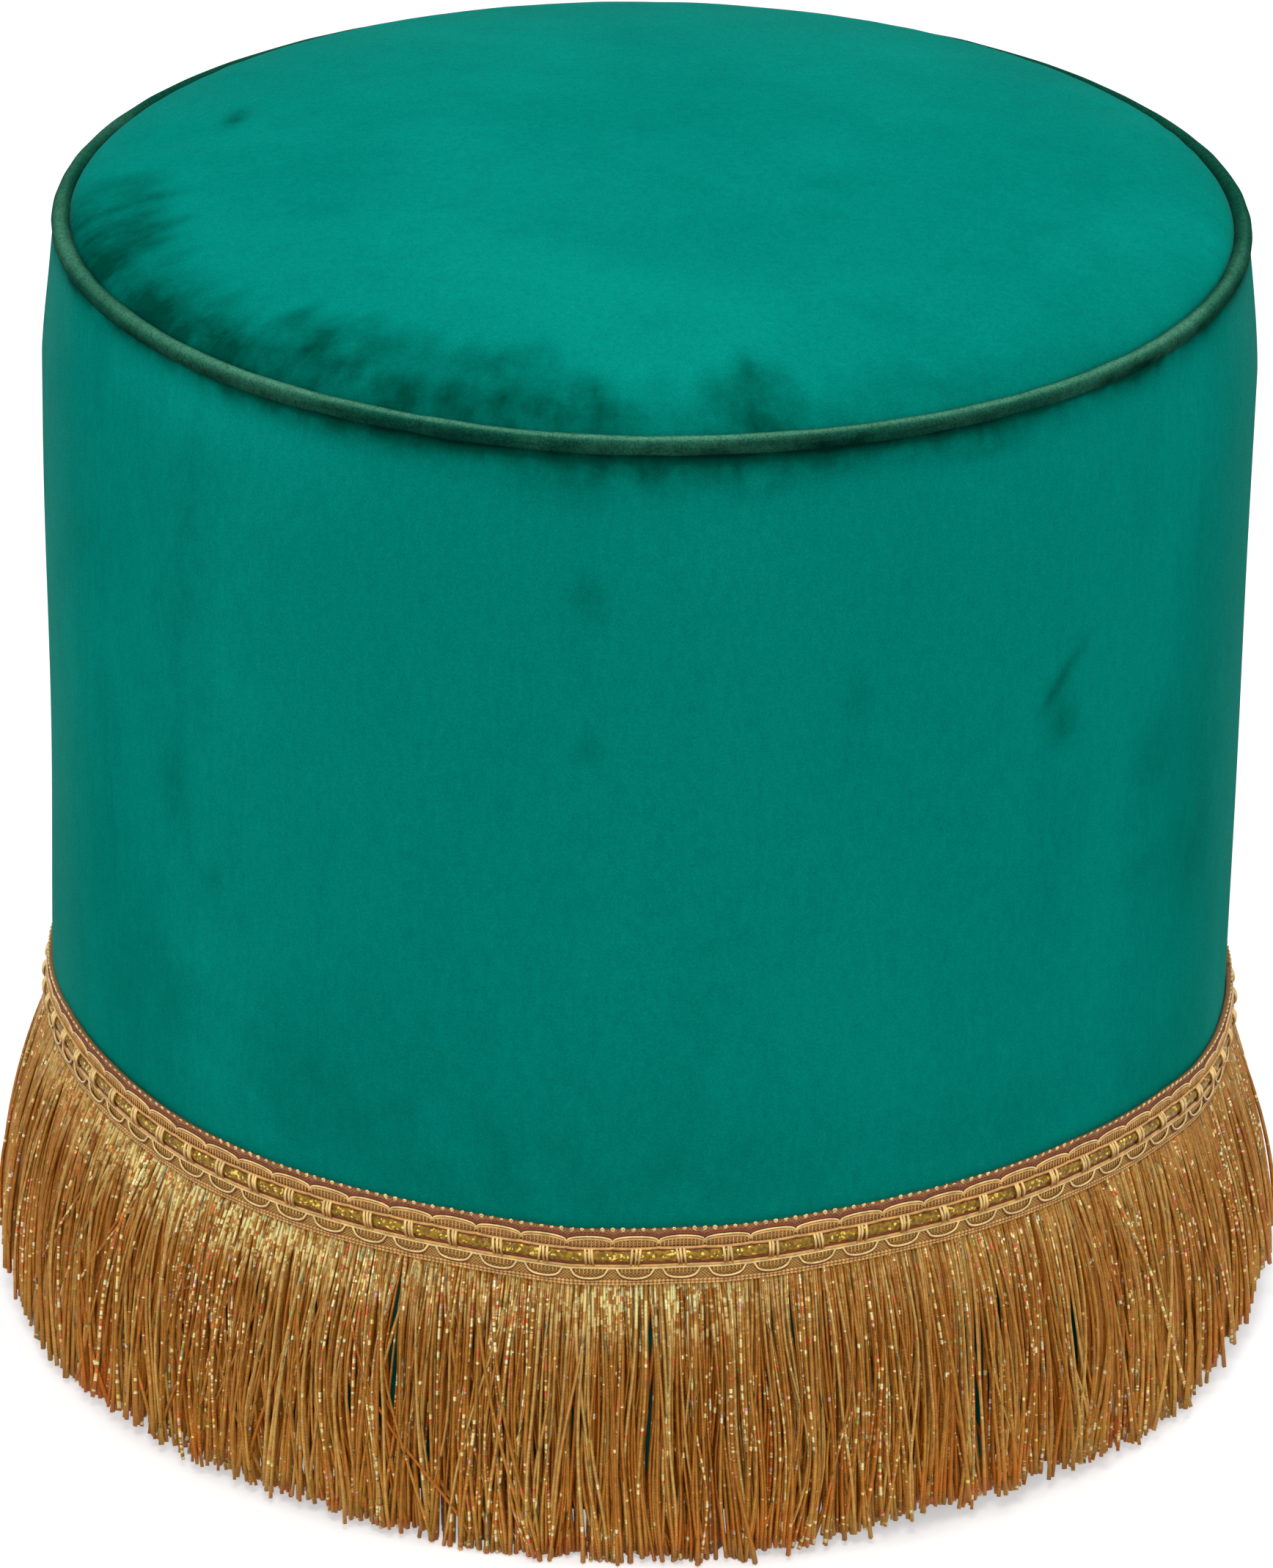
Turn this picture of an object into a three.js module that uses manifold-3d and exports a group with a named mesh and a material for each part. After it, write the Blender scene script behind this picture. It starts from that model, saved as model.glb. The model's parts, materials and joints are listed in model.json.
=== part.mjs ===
// A round upholstered footstool: a timber and hardboard drum, padded and covered in velvet,
// with a corded seam round its crowned seat and a gimp-headed fringe round its foot.
// Millimetres, +Z up, origin on the floor under the middle of the drum.
import * as THREE from "three";
import { mergeVertices } from "three/addons/utils/BufferGeometryUtils.js";
import Module from "manifold-3d";

const wasm = await Module();
wasm.setup();

// Driving sizes of the whole stool
const BODY_RADIUS = 207; // outside of the velvet side
const SEAM_HEIGHT = 396; // middle of the piping above the floor
const CROWN_RISE = 26; // middle of the seat above the middle of the piping
const SEAM_INSET = 7; // middle of the piping inside the velvet side
const SEAM_BULGE_DEPTH = 45; // how far below the piping the side reaches its full radius
const FIT = 0.3; // clearance between pieces that touch
const CUT_OVERRUN = 2; // how far a cutting solid runs past the face that it cuts
const MERGE_DISTANCE = 0.0001; // points closer than this are one corner

// Upholstery
const VELVET = 1.5;
const PADDING = 8;
const WADDING = 6;
const SEAT_FOAM_DEPTH = 50; // seat board to the middle of the piping
const SEAM_ALLOWANCE = 10; // flaps of the sewn seam, below the piping
const HEM_WIDTH = 35; // velvet turned in under the base
const DUST_COVER = 0.8;
const DUST_COVER_MARGIN = 18; // from the drum's side in to the edge of the dust cover

// Piping
const PIPING_DIAMETER = 6.4;
const PIPING_CLOTH = 1;

// Frame
const SHELL = 4;
const BOARD = 15;
const POST_SIDE = 30;
const POST_SETBACK = 10; // rim of the boards to the outer face of a post
const POSTS = 6;

// Wood screws
const SCREW_LENGTH = 45;
const SCREW_SHANK_RADIUS = 1.9;
const SCREW_HEAD_RADIUS = 4;
const SCREW_HEAD_LIP = 0.6;
const SCREW_POINT = 5;

// Glides
const GLIDES = 4;
const GLIDE_HEIGHT = 7;
const GLIDE_RADIUS = 13;
const GLIDE_CHAMFER = 1.5;
const GLIDE_CIRCLE = 148; // middle of the stool to the middle of a glide
const GLIDE_NAIL_RADIUS = 1.4;
const GLIDE_NAIL_LENGTH = 14;
const GLIDE_NAIL_POINT = 3;

// Staples under the base
const STAPLES = 8;
const STAPLE_CROWN = 10;
const STAPLE_LEG = 10;
const STAPLE_WIRE = 0.9;
const STAPLE_EDGE = 6; // edge of the dust cover in to the staple

// Gimp and fringe
const GIMP_TOP = 119; // top edge of the gimp above the floor
const GIMP_WIDTH = 17.5;
const GIMP_TAPE = 1.6;
const BRAID_CORD_RADIUS = 1.9;
const EDGE_CORD_RADIUS = 1;
const FRINGE_BACKING = 6;
const FRINGE_FLOOR_GAP = 4.5;
const FRINGE_FLARE = 19; // tips of the strands outside their roots
const STRAND_HALF_WIDTH = 1.9; // along the ring
const STRAND_HALF_DEPTH = 0.9; // out from the ring
const STRANDS_PER_QUARTER = 75;
const STRAND_UNEVENNESS = 2.2; // longest strand over the mean, and the mean over the shortest

// Facets
const AROUND = 40;
const QUARTERS = 4;
const CORD_SIDES = 5;
const SCREW_SIDES = 6;
const NAIL_SIDES = 6;
const GLIDE_SIDES = 12;

const VELVET_GREEN = 0x00806c;
const PIPING_GREEN = 0x0f4a36;
const GOLD_FRINGE = 0xb57a2c;
const materials = {
  velvet: new THREE.MeshStandardMaterial({ color: VELVET_GREEN, roughness: 0.9 }),
  piping: new THREE.MeshStandardMaterial({ color: PIPING_GREEN, roughness: 0.85 }),
  cotton: new THREE.MeshStandardMaterial({ color: 0xe8e2d2, roughness: 1 }),
  foam: new THREE.MeshStandardMaterial({ color: 0xece4c4, roughness: 1 }),
  wadding: new THREE.MeshStandardMaterial({ color: 0xf4f4f2, roughness: 1 }),
  plywood: new THREE.MeshStandardMaterial({ color: 0xc9a36c, roughness: 0.7 }),
  pine: new THREE.MeshStandardMaterial({ color: 0xdcb982, roughness: 0.75 }),
  hardboard: new THREE.MeshStandardMaterial({ color: 0x7c5636, roughness: 0.8 }),
  lining: new THREE.MeshStandardMaterial({ color: 0x1c1c1e, roughness: 1 }),
  glide: new THREE.MeshStandardMaterial({ color: 0x2a2a2c, roughness: 0.5 }),
  steel: new THREE.MeshStandardMaterial({ color: 0xb8b8ba, roughness: 0.35, metalness: 1 }),
  gimp: new THREE.MeshStandardMaterial({ color: 0xc79a5b, roughness: 0.6, metalness: 0.2 }),
  lurex: new THREE.MeshStandardMaterial({ color: 0x9a7a12, roughness: 0.35, metalness: 0.7 }),
  fringe: new THREE.MeshStandardMaterial({ color: GOLD_FRINGE, roughness: 0.4, metalness: 0.4 }),
};

const stool = new THREE.Group();

function add(name, geometry, material) {
  const mesh = new THREE.Mesh(geometry, material);
  mesh.name = name;
  stool.add(mesh);
}

// Booleans

function toSolid(geometry) {
  const bare = new THREE.BufferGeometry();
  bare.setAttribute("position", geometry.getAttribute("position").clone());
  if (geometry.index) bare.setIndex(geometry.index.clone());
  const merged = mergeVertices(bare, MERGE_DISTANCE);
  return new wasm.Manifold(
    new wasm.Mesh({
      numProp: 3,
      vertProperties: merged.attributes.position.array,
      triVerts: new Uint32Array(merged.index.array),
    }),
  );
}

function toGeometry(solid) {
  const mesh = solid.getMesh();
  const geometry = new THREE.BufferGeometry();
  geometry.setAttribute("position", new THREE.BufferAttribute(mesh.vertProperties, 3));
  geometry.setIndex(new THREE.BufferAttribute(mesh.triVerts, 1));
  geometry.computeVertexNormals();
  return geometry;
}

function cutAll(geometry, cutters) {
  let solid = toSolid(geometry);
  for (const cutter of cutters) solid = solid.subtract(toSolid(cutter));
  return toGeometry(solid);
}

// Shapes

// A profile of [radius, height] points, counter-clockwise with radius to the right, turned about +Z.
function turned(profile, segments = AROUND) {
  const points = profile.map(([r, z]) => new THREE.Vector2(r, z));
  const first = points[0];
  const last = points[points.length - 1];
  if (first.x > 0 || last.x > 0) points.push(first.clone());
  return new THREE.LatheGeometry(points, segments).rotateX(Math.PI / 2);
}

function circleSection(radius, height, sectionRadius, sides) {
  const corners = [];
  for (let i = 0; i < sides; i += 1) {
    const angle = ((i + 0.5) / sides) * 2 * Math.PI;
    corners.push([radius + sectionRadius * Math.cos(angle), height + sectionRadius * Math.sin(angle)]);
  }
  return corners;
}

function disc(radius, bottom, thickness) {
  return turned([[0, bottom], [radius, bottom], [radius, bottom + thickness], [0, bottom + thickness]]);
}

// A plain pin about +Z, for cutting a hole
function pin(radius, bottom, top, x, y, sides) {
  const profile = [[0, bottom], [radius, bottom], [radius, top], [0, top]];
  return turned(profile, sides).translate(x, y, 0);
}

function onCircle(radius, index, count, turnShare = 0) {
  const angle = ((index + turnShare) / count) * 2 * Math.PI;
  return [radius * Math.cos(angle), radius * Math.sin(angle), angle];
}

// Radii and heights that the pieces share

const seamRadius = BODY_RADIUS - SEAM_INSET;
const pipingRadius = PIPING_DIAMETER / 2;
const flangeHalf = PIPING_CLOTH + FIT;
const flangeBottom = SEAM_HEIGHT - pipingRadius - SEAM_ALLOWANCE;
const coverEdgeRadius = seamRadius - pipingRadius - FIT;
const coverFlangeRadius = seamRadius - flangeHalf - FIT;
const waddingRadius = coverEdgeRadius - VELVET - FIT;
const foamRadius = waddingRadius - WADDING - FIT;

const paddingOuter = BODY_RADIUS - VELVET - FIT;
const shellOuter = paddingOuter - PADDING - FIT;
const boardRadius = shellOuter - SHELL - FIT;

const dustBottom = GLIDE_HEIGHT + FIT;
const hemBottom = dustBottom + DUST_COVER + FIT;
const baseBottom = hemBottom + VELVET + FIT;
const baseTop = baseBottom + BOARD;
const seatBoardTop = SEAM_HEIGHT - SEAT_FOAM_DEPTH;
const seatBoardBottom = seatBoardTop - BOARD;
const dustRadius = BODY_RADIUS - DUST_COVER_MARGIN;

// Height over the seam plane of a crown that is steep at its rim and nearly flat in its middle
function crown(radius, edgeRadius, rise) {
  const CROWN_POWER = 2.3;
  return rise * Math.sqrt(Math.max(0, 1 - (radius / edgeRadius) ** CROWN_POWER));
}

function crownPoints(edgeRadius, rise, radiusShares) {
  return radiusShares.map((share) => [
    edgeRadius * share,
    SEAM_HEIGHT + crown(edgeRadius * share, edgeRadius, rise),
  ]);
}

const foldInner = seamRadius + flangeHalf + FIT;
const foldOuter = foldInner + PIPING_CLOTH;
const foldTop = SEAM_HEIGHT - pipingRadius;
const bulgeStart = foldTop - SEAM_BULGE_DEPTH;

// Outside of the velvet side at a height: full below, drawn in towards the seam
function sideRadius(height) {
  const BULGE_POWER = 1.2;
  const rise = Math.max(0, (height - bulgeStart) / SEAM_BULGE_DEPTH);
  return BODY_RADIUS - (BODY_RADIUS - foldOuter) * rise ** BULGE_POWER;
}

function bulgeHeight(riseShare) {
  return bulgeStart + SEAM_BULGE_DEPTH * riseShare;
}

// Frame: two boards, six posts between them, a bent hardboard wall

const postCircle = boardRadius - POST_SETBACK - POST_SIDE / 2;
const postPlaces = Array.from({ length: POSTS }, (_, i) => onCircle(postCircle, i, POSTS, 0.5));
const glidePlaces = Array.from({ length: GLIDES }, (_, i) => onCircle(GLIDE_CIRCLE, i, GLIDES, 0.5));
const staplePlaces = Array.from({ length: STAPLES }, (_, i) =>
  onCircle(dustRadius - STAPLE_EDGE, i, STAPLES, 0.5),
);

// Screw with its head's flat at height 0 and its point down
function screwProfile(grow) {
  const shank = SCREW_SHANK_RADIUS + grow;
  const head = SCREW_HEAD_RADIUS + grow;
  const cone = SCREW_HEAD_LIP + (SCREW_HEAD_RADIUS - SCREW_SHANK_RADIUS);
  return { shank, head, lip: SCREW_HEAD_LIP + grow, cone: cone + grow };
}

function screwGeometry(up) {
  const { shank, head, lip, cone } = screwProfile(0);
  const geometry = turned(
    [
      [0, -SCREW_LENGTH], [shank, SCREW_POINT - SCREW_LENGTH], [shank, -cone], [head, -lip],
      [head, 0], [0, 0],
    ],
    SCREW_SIDES,
  );
  return up ? geometry : geometry.rotateX(Math.PI);
}

function screwCutter(up) {
  const { shank, head, lip, cone } = screwProfile(FIT);
  const geometry = turned(
    [
      [0, -SCREW_LENGTH - FIT], [shank, -SCREW_LENGTH - FIT], [shank, -cone], [head, -lip],
      [head, CUT_OVERRUN], [0, CUT_OVERRUN],
    ],
    SCREW_SIDES,
  );
  return up ? geometry : geometry.rotateX(Math.PI);
}

const seatScrewHeight = seatBoardTop - FIT;
const baseScrewHeight = baseBottom + FIT;

function seatScrewCutters() {
  return postPlaces.map(([x, y]) => screwCutter(true).translate(x, y, seatScrewHeight));
}

function baseScrewCutters() {
  return postPlaces.map(([x, y]) => screwCutter(false).translate(x, y, baseScrewHeight));
}

function stapleLegCutters() {
  const hole = STAPLE_WIRE + 2 * FIT;
  const reach = (STAPLE_CROWN - STAPLE_WIRE) / 2;
  const top = dustBottom - FIT - STAPLE_WIRE + STAPLE_LEG + FIT;
  const height = top - (dustBottom - CUT_OVERRUN);
  return staplePlaces.flatMap(([x, y, angle]) =>
    [-reach, reach].map((side) =>
      new THREE.BoxGeometry(hole, hole, height)
        .translate(0, side, top - height / 2)
        .rotateZ(angle)
        .translate(x, y, 0),
    ),
  );
}

function glideNailCutters() {
  const top = GLIDE_HEIGHT + GLIDE_NAIL_LENGTH + FIT;
  return glidePlaces.map(([x, y]) =>
    pin(GLIDE_NAIL_RADIUS + FIT, GLIDE_HEIGHT - CUT_OVERRUN, top, x, y, NAIL_SIDES),
  );
}

function addFrame() {
  const seatBoard = cutAll(disc(boardRadius, seatBoardBottom, BOARD), seatScrewCutters());
  add("seat_board", seatBoard, materials.plywood);

  const baseCutters = [...baseScrewCutters(), ...glideNailCutters(), ...stapleLegCutters()];
  add("base_board", cutAll(disc(boardRadius, baseBottom, BOARD), baseCutters), materials.plywood);

  const postHeight = seatBoardBottom - baseTop - 2 * FIT;
  postPlaces.forEach(([x, y, angle], i) => {
    const post = new THREE.BoxGeometry(POST_SIDE, POST_SIDE, postHeight)
      .rotateZ(angle)
      .translate(x, y, baseTop + FIT + postHeight / 2);
    const screws = [
      screwCutter(true).translate(x, y, seatScrewHeight),
      screwCutter(false).translate(x, y, baseScrewHeight),
    ];
    add(`post_${i + 1}`, cutAll(post, screws), materials.pine);
    const seatScrew = screwGeometry(true).translate(x, y, seatScrewHeight);
    const baseScrew = screwGeometry(false).translate(x, y, baseScrewHeight);
    add(`seat_board_screw_${i + 1}`, seatScrew, materials.steel);
    add(`base_board_screw_${i + 1}`, baseScrew, materials.steel);
  });

  const shellInner = shellOuter - SHELL;
  const wall = turned([
    [shellInner, baseBottom], [shellOuter, baseBottom],
    [shellOuter, seatBoardTop], [shellInner, seatBoardTop],
  ]);
  add("hardboard_wall", wall, materials.hardboard);
}

// Foot: nail-in glides, dust cover and the staples that hold it with the velvet hem

function addFoot() {
  const nailTop = GLIDE_HEIGHT + GLIDE_NAIL_LENGTH;
  glidePlaces.forEach(([x, y], i) => {
    const glide = turned(
      [
        [0, 0], [GLIDE_RADIUS - GLIDE_CHAMFER, 0], [GLIDE_RADIUS, GLIDE_CHAMFER],
        [GLIDE_RADIUS, GLIDE_HEIGHT], [GLIDE_NAIL_RADIUS, GLIDE_HEIGHT],
        [GLIDE_NAIL_RADIUS, nailTop - GLIDE_NAIL_POINT], [0, nailTop],
      ],
      GLIDE_SIDES,
    );
    add(`glide_${i + 1}`, glide.translate(x, y, 0), materials.glide);
  });

  const dust = disc(dustRadius, dustBottom, DUST_COVER);
  const holes = [...glideNailCutters(), ...stapleLegCutters()];
  add("dust_cover", cutAll(dust, holes), materials.lining);

  const half = STAPLE_CROWN / 2;
  const inner = half - STAPLE_WIRE;
  const outline = [
    [-half, 0], [half, 0], [half, STAPLE_LEG], [inner, STAPLE_LEG],
    [inner, STAPLE_WIRE], [-inner, STAPLE_WIRE], [-inner, STAPLE_LEG], [-half, STAPLE_LEG],
  ];
  const shape = new THREE.Shape(outline.map(([x, y]) => new THREE.Vector2(x, y)));
  staplePlaces.forEach(([x, y, angle], i) => {
    const staple = new THREE.ExtrudeGeometry(shape, { depth: STAPLE_WIRE, bevelEnabled: false })
      .translate(0, 0, -STAPLE_WIRE / 2)
      .rotateX(Math.PI / 2)
      .rotateZ(angle + Math.PI / 2)
      .translate(x, y, dustBottom - FIT - STAPLE_WIRE);
    add(`staple_${i + 1}`, staple, materials.steel);
  });
}

// Stuffing

const OUTER_CROWN_SHARES = [0.99, 0.93, 0.82, 0.66, 0.42, 0];
const INNER_CROWN_SHARES = [1, 0.97, 0.86, 0.62, 0];

function addStuffing() {
  const bottom = seatBoardTop + FIT;
  const foamRise = CROWN_RISE - VELVET - WADDING - 2 * FIT;
  const foam = [
    [0, bottom], [foamRadius, bottom],
    ...crownPoints(foamRadius, foamRise, INNER_CROWN_SHARES),
  ];
  add("seat_foam", turned(foam), materials.foam);

  const innerEdge = foamRadius + FIT;
  const wadding = [
    [innerEdge, bottom], [waddingRadius, bottom],
    ...crownPoints(waddingRadius, CROWN_RISE - VELVET - FIT, INNER_CROWN_SHARES),
    ...crownPoints(innerEdge, foamRise + FIT, INNER_CROWN_SHARES).reverse(),
  ];
  add("seat_wadding", turned(wadding), materials.wadding);

  const top = flangeBottom - FIT;
  const paddingInner = shellOuter + FIT;
  const padding = [
    [paddingInner, baseBottom], [paddingOuter, baseBottom], [paddingOuter, bulgeStart],
    [sideRadius(top) - VELVET - FIT, top], [paddingInner, top],
  ];
  add("side_padding", turned(padding), materials.foam);
}

// Covers and piping

function addSeatCover() {
  const edge = coverEdgeRadius;
  const neck = SEAM_HEIGHT - pipingRadius / 2;
  const flangeTop = SEAM_HEIGHT - pipingRadius - VELVET / 2;
  const flangeInner = coverFlangeRadius - VELVET;
  const profile = [
    [flangeInner, flangeBottom], [coverFlangeRadius, flangeBottom],
    [coverFlangeRadius, flangeTop], [edge, neck],
    ...crownPoints(edge, CROWN_RISE, OUTER_CROWN_SHARES),
    ...crownPoints(edge - VELVET, CROWN_RISE - VELVET, INNER_CROWN_SHARES).reverse(),
    [edge - VELVET, neck], [flangeInner, flangeTop],
  ];
  add("seat_cover", turned(profile), materials.velvet);
}

function addSideCover() {
  const BULGE_SHARES = [0, 0.5];
  const hemInner = BODY_RADIUS - HEM_WIDTH;
  const profile = [
    [hemInner, hemBottom], [BODY_RADIUS - VELVET, hemBottom], [BODY_RADIUS, hemBottom + VELVET],
    ...BULGE_SHARES.map((share) => [sideRadius(bulgeHeight(share)), bulgeHeight(share)]),
    [foldOuter, foldTop], [foldInner, foldTop - FIT], [foldInner, flangeBottom],
    [sideRadius(flangeBottom) - VELVET, flangeBottom - FIT],
    [BODY_RADIUS - VELVET, bulgeStart],
    [BODY_RADIUS - VELVET, hemBottom + VELVET], [hemInner, hemBottom + VELVET],
  ];
  const cutters = [...stapleLegCutters(), ...glideNailCutters()];
  add("side_cover", cutAll(turned(profile), cutters), materials.velvet);
}

// Bias-cut cloth wrapped round a cord, its two edges running down into the seam
function addPiping() {
  const OUTER_ARC = 6;
  const INNER_ARC = 4;
  const arc = (radius, half, steps) => {
    const start = Math.asin(half / radius);
    return Array.from({ length: steps + 1 }, (_, i) => {
      const angle = -Math.PI / 2 + start + ((2 * Math.PI - 2 * start) * i) / steps;
      return [seamRadius + radius * Math.cos(angle), SEAM_HEIGHT + radius * Math.sin(angle)];
    });
  };
  const innerRadius = pipingRadius - PIPING_CLOTH;
  const sleeve = [
    [seamRadius + FIT, flangeBottom], [seamRadius + flangeHalf, flangeBottom],
    ...arc(pipingRadius, flangeHalf, OUTER_ARC),
    [seamRadius - flangeHalf, flangeBottom], [seamRadius - FIT, flangeBottom],
    ...arc(innerRadius, FIT, INNER_ARC).reverse(),
  ];
  add("piping_cloth", turned(sleeve), materials.piping);

  const innerFlatShare = Math.cos(Math.PI / INNER_ARC);
  const cordRadius = innerRadius * innerFlatShare - FIT;
  const cord = circleSection(seamRadius, SEAM_HEIGHT, cordRadius, CORD_SIDES);
  add("piping_cord", turned(cord), materials.cotton);
}

// Gimp and fringe

const trimInner = BODY_RADIUS + FIT;
const trimOuter = trimInner + GIMP_TAPE;
const gimpBottom = GIMP_TOP - GIMP_WIDTH;
const backingTop = gimpBottom - FIT;
const backingBottom = backingTop - FRINGE_BACKING;

function addGimp() {
  const tape = [
    [trimInner, gimpBottom], [trimOuter, gimpBottom],
    [trimOuter, GIMP_TOP], [trimInner, GIMP_TOP],
  ];
  add("gimp_tape", turned(tape), materials.gimp);

  const cords = [
    ["gimp_upper_edge_cord", EDGE_CORD_RADIUS, GIMP_TOP - EDGE_CORD_RADIUS, materials.gimp],
    ["gimp_braid_cord", BRAID_CORD_RADIUS, (GIMP_TOP + gimpBottom) / 2, materials.lurex],
    ["gimp_lower_edge_cord", EDGE_CORD_RADIUS, gimpBottom + EDGE_CORD_RADIUS, materials.gimp],
  ];
  for (const [name, radius, height, material] of cords) {
    add(name, turned(circleSection(trimOuter + FIT + radius, height, radius, CORD_SIDES)), material);
  }
}

// Quarter of the backing that the strands are woven into
function backingQuarter(quarter) {
  const steps = AROUND / QUARTERS;
  const gapAngle = FIT / trimInner;
  const corner = (radius, i) => {
    const inset = i === 0 ? gapAngle : i === steps ? -gapAngle : 0;
    const angle = ((quarter * steps + i) / AROUND) * 2 * Math.PI + inset;
    return new THREE.Vector2(radius * Math.cos(angle), radius * Math.sin(angle));
  };
  const places = Array.from({ length: steps + 1 }, (_, i) => i);
  const outline = [
    ...places.map((i) => corner(trimOuter, i)),
    ...places.reverse().map((i) => corner(trimInner, i)),
  ];
  const settings = { depth: FRINGE_BACKING, bevelEnabled: false };
  return new THREE.ExtrudeGeometry(new THREE.Shape(outline), settings).translate(0, 0, backingBottom);
}

// Share of the true radius that a facet of a turned ring keeps at an angle
function facetShare(angle) {
  const half = Math.PI / AROUND;
  return Math.cos(half) / Math.cos((angle % (2 * half)) - half);
}

// Three-sided strands that leave the backing, swing out and hang, each a little longer or shorter
function strandsOf(quarter) {
  const SIDES = 3;
  const FALL_SHARES = [0, 0.38, 1];
  const FLARE_SHARES = [0, 0.68, 1];
  const WIDTH_SHARES = [0.7, 1, 1];
  const LONG_WAVE_STEPS = 10.3;
  const SHORT_WAVE_STEPS = 3.7;
  const rootRadius = (trimInner + trimOuter) / 2;
  const positions = [];
  const index = [];

  function addRing(angle, row, tip) {
    const height = backingBottom + (tip - backingBottom) * FALL_SHARES[row];
    const radius = (rootRadius + FRINGE_FLARE * FLARE_SHARES[row]) * facetShare(angle);
    for (let k = 0; k < SIDES; k += 1) {
      const turn = (k / SIDES) * 2 * Math.PI;
      const out = radius + STRAND_HALF_DEPTH * WIDTH_SHARES[row] * Math.cos(turn);
      const along = STRAND_HALF_WIDTH * WIDTH_SHARES[row] * Math.sin(turn);
      positions.push(
        out * Math.cos(angle) - along * Math.sin(angle),
        out * Math.sin(angle) + along * Math.cos(angle),
        height,
      );
    }
  }

  for (let i = 0; i < STRANDS_PER_QUARTER; i += 1) {
    const serial = quarter * STRANDS_PER_QUARTER + i;
    const angle = ((serial + 0.5) / (STRANDS_PER_QUARTER * QUARTERS)) * 2 * Math.PI;
    const longWave = Math.sin((serial / LONG_WAVE_STEPS) * 2 * Math.PI);
    const shortWave = Math.sin((serial / SHORT_WAVE_STEPS) * 2 * Math.PI);
    const tip = FRINGE_FLOOR_GAP - (STRAND_UNEVENNESS * (longWave + shortWave)) / 2;
    const first = positions.length / 3;
    FALL_SHARES.forEach((_, row) => addRing(angle, row, tip));
    index.push(first, first + 1, first + 2);
    for (let row = 0; row < FALL_SHARES.length - 1; row += 1) {
      for (let k = 0; k < SIDES; k += 1) {
        const a = first + row * SIDES + k;
        const b = first + row * SIDES + ((k + 1) % SIDES);
        index.push(a, b + SIDES, b, a, a + SIDES, b + SIDES);
      }
    }
    const last = first + (FALL_SHARES.length - 1) * SIDES;
    index.push(last, last + 2, last + 1);
  }
  const geometry = new THREE.BufferGeometry();
  geometry.setAttribute("position", new THREE.Float32BufferAttribute(positions, 3));
  geometry.setIndex(index);
  return geometry;
}

function addFringe() {
  ["rear_right", "rear_left", "front_left", "front_right"].forEach((place, quarter) => {
    const joined = toSolid(backingQuarter(quarter)).add(toSolid(strandsOf(quarter)));
    add(`fringe_${place}`, toGeometry(joined), materials.fringe);
  });
}

addFrame();
addFoot();
addStuffing();
addSeatCover();
addSideCover();
addPiping();
addGimp();
addFringe();

export default stool;
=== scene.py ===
"""A round velvet tuffet: crowned seat, corded seam, velvet side, gimp braid and gold cut fringe."""

import json
import math

import bpy
import numpy as np
from bpy.props import FloatProperty, FloatVectorProperty, IntProperty, PointerProperty
from mathutils import Matrix, Vector

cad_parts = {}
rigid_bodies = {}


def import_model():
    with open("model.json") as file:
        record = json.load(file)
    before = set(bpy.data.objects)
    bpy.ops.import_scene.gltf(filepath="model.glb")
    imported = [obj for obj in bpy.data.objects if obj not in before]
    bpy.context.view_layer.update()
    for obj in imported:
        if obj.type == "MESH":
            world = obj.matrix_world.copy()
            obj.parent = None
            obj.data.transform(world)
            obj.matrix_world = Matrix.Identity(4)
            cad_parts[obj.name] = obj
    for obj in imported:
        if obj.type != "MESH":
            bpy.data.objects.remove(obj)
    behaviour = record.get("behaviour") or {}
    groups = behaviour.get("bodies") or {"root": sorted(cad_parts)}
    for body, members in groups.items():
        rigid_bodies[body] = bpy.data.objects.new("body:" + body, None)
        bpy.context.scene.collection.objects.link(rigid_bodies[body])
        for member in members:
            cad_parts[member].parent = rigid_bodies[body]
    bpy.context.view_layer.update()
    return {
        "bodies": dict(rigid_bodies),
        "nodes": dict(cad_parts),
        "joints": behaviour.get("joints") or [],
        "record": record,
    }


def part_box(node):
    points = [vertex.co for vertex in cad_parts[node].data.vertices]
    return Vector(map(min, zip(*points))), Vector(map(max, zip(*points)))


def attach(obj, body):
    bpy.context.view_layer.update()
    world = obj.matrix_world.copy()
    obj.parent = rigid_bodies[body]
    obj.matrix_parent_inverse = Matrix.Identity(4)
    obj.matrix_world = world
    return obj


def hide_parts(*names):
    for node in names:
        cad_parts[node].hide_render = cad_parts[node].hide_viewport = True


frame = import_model()

bl_info = {
    "name": "Velvet Tuffet",
    "version": (1, 0, 0),
    "blender": (4, 5, 0),
    "location": "3D View > Sidebar > Tuffet",
    "description": "Builds a round velvet tuffet with a gimp braid and a cut fringe",
    "category": "Add Mesh",
}

MM = 0.001
TURN = 2 * math.pi
BODY = "root"

BODY_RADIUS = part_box("side_cover")[1].x
HEM_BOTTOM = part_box("side_cover")[0].z
SEAT_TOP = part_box("seat_cover")[1].z
SEAT_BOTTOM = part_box("seat_foam")[0].z
PADDING_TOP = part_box("side_padding")[1].z
PIPING_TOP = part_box("piping_cloth")[1].z
GIMP_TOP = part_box("gimp_tape")[1].z
TAPE_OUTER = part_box("gimp_tape")[1].x
FRINGE_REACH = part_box("fringe_rear_right")[1].x


def srgb(red, green, blue):
    """Scene-linear colour of a display colour given as 0 to 255."""
    parts = [channel / 255 for channel in (red, green, blue)]
    return tuple(p / 12.92 if p <= 0.04045 else ((p + 0.055) / 1.055) ** 2.4 for p in parts)


def length(name, description, default):
    return FloatProperty(name=name, description=description, default=default, min=0, unit="LENGTH")


def quantity(name, description, default, least=8):
    return IntProperty(name=name, description=description, default=default, min=least)


def colour(name, description, display):
    return FloatVectorProperty(
        name=name, description=description, default=srgb(*display), min=0, max=1, size=3,
        subtype="COLOR",
    )


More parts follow.
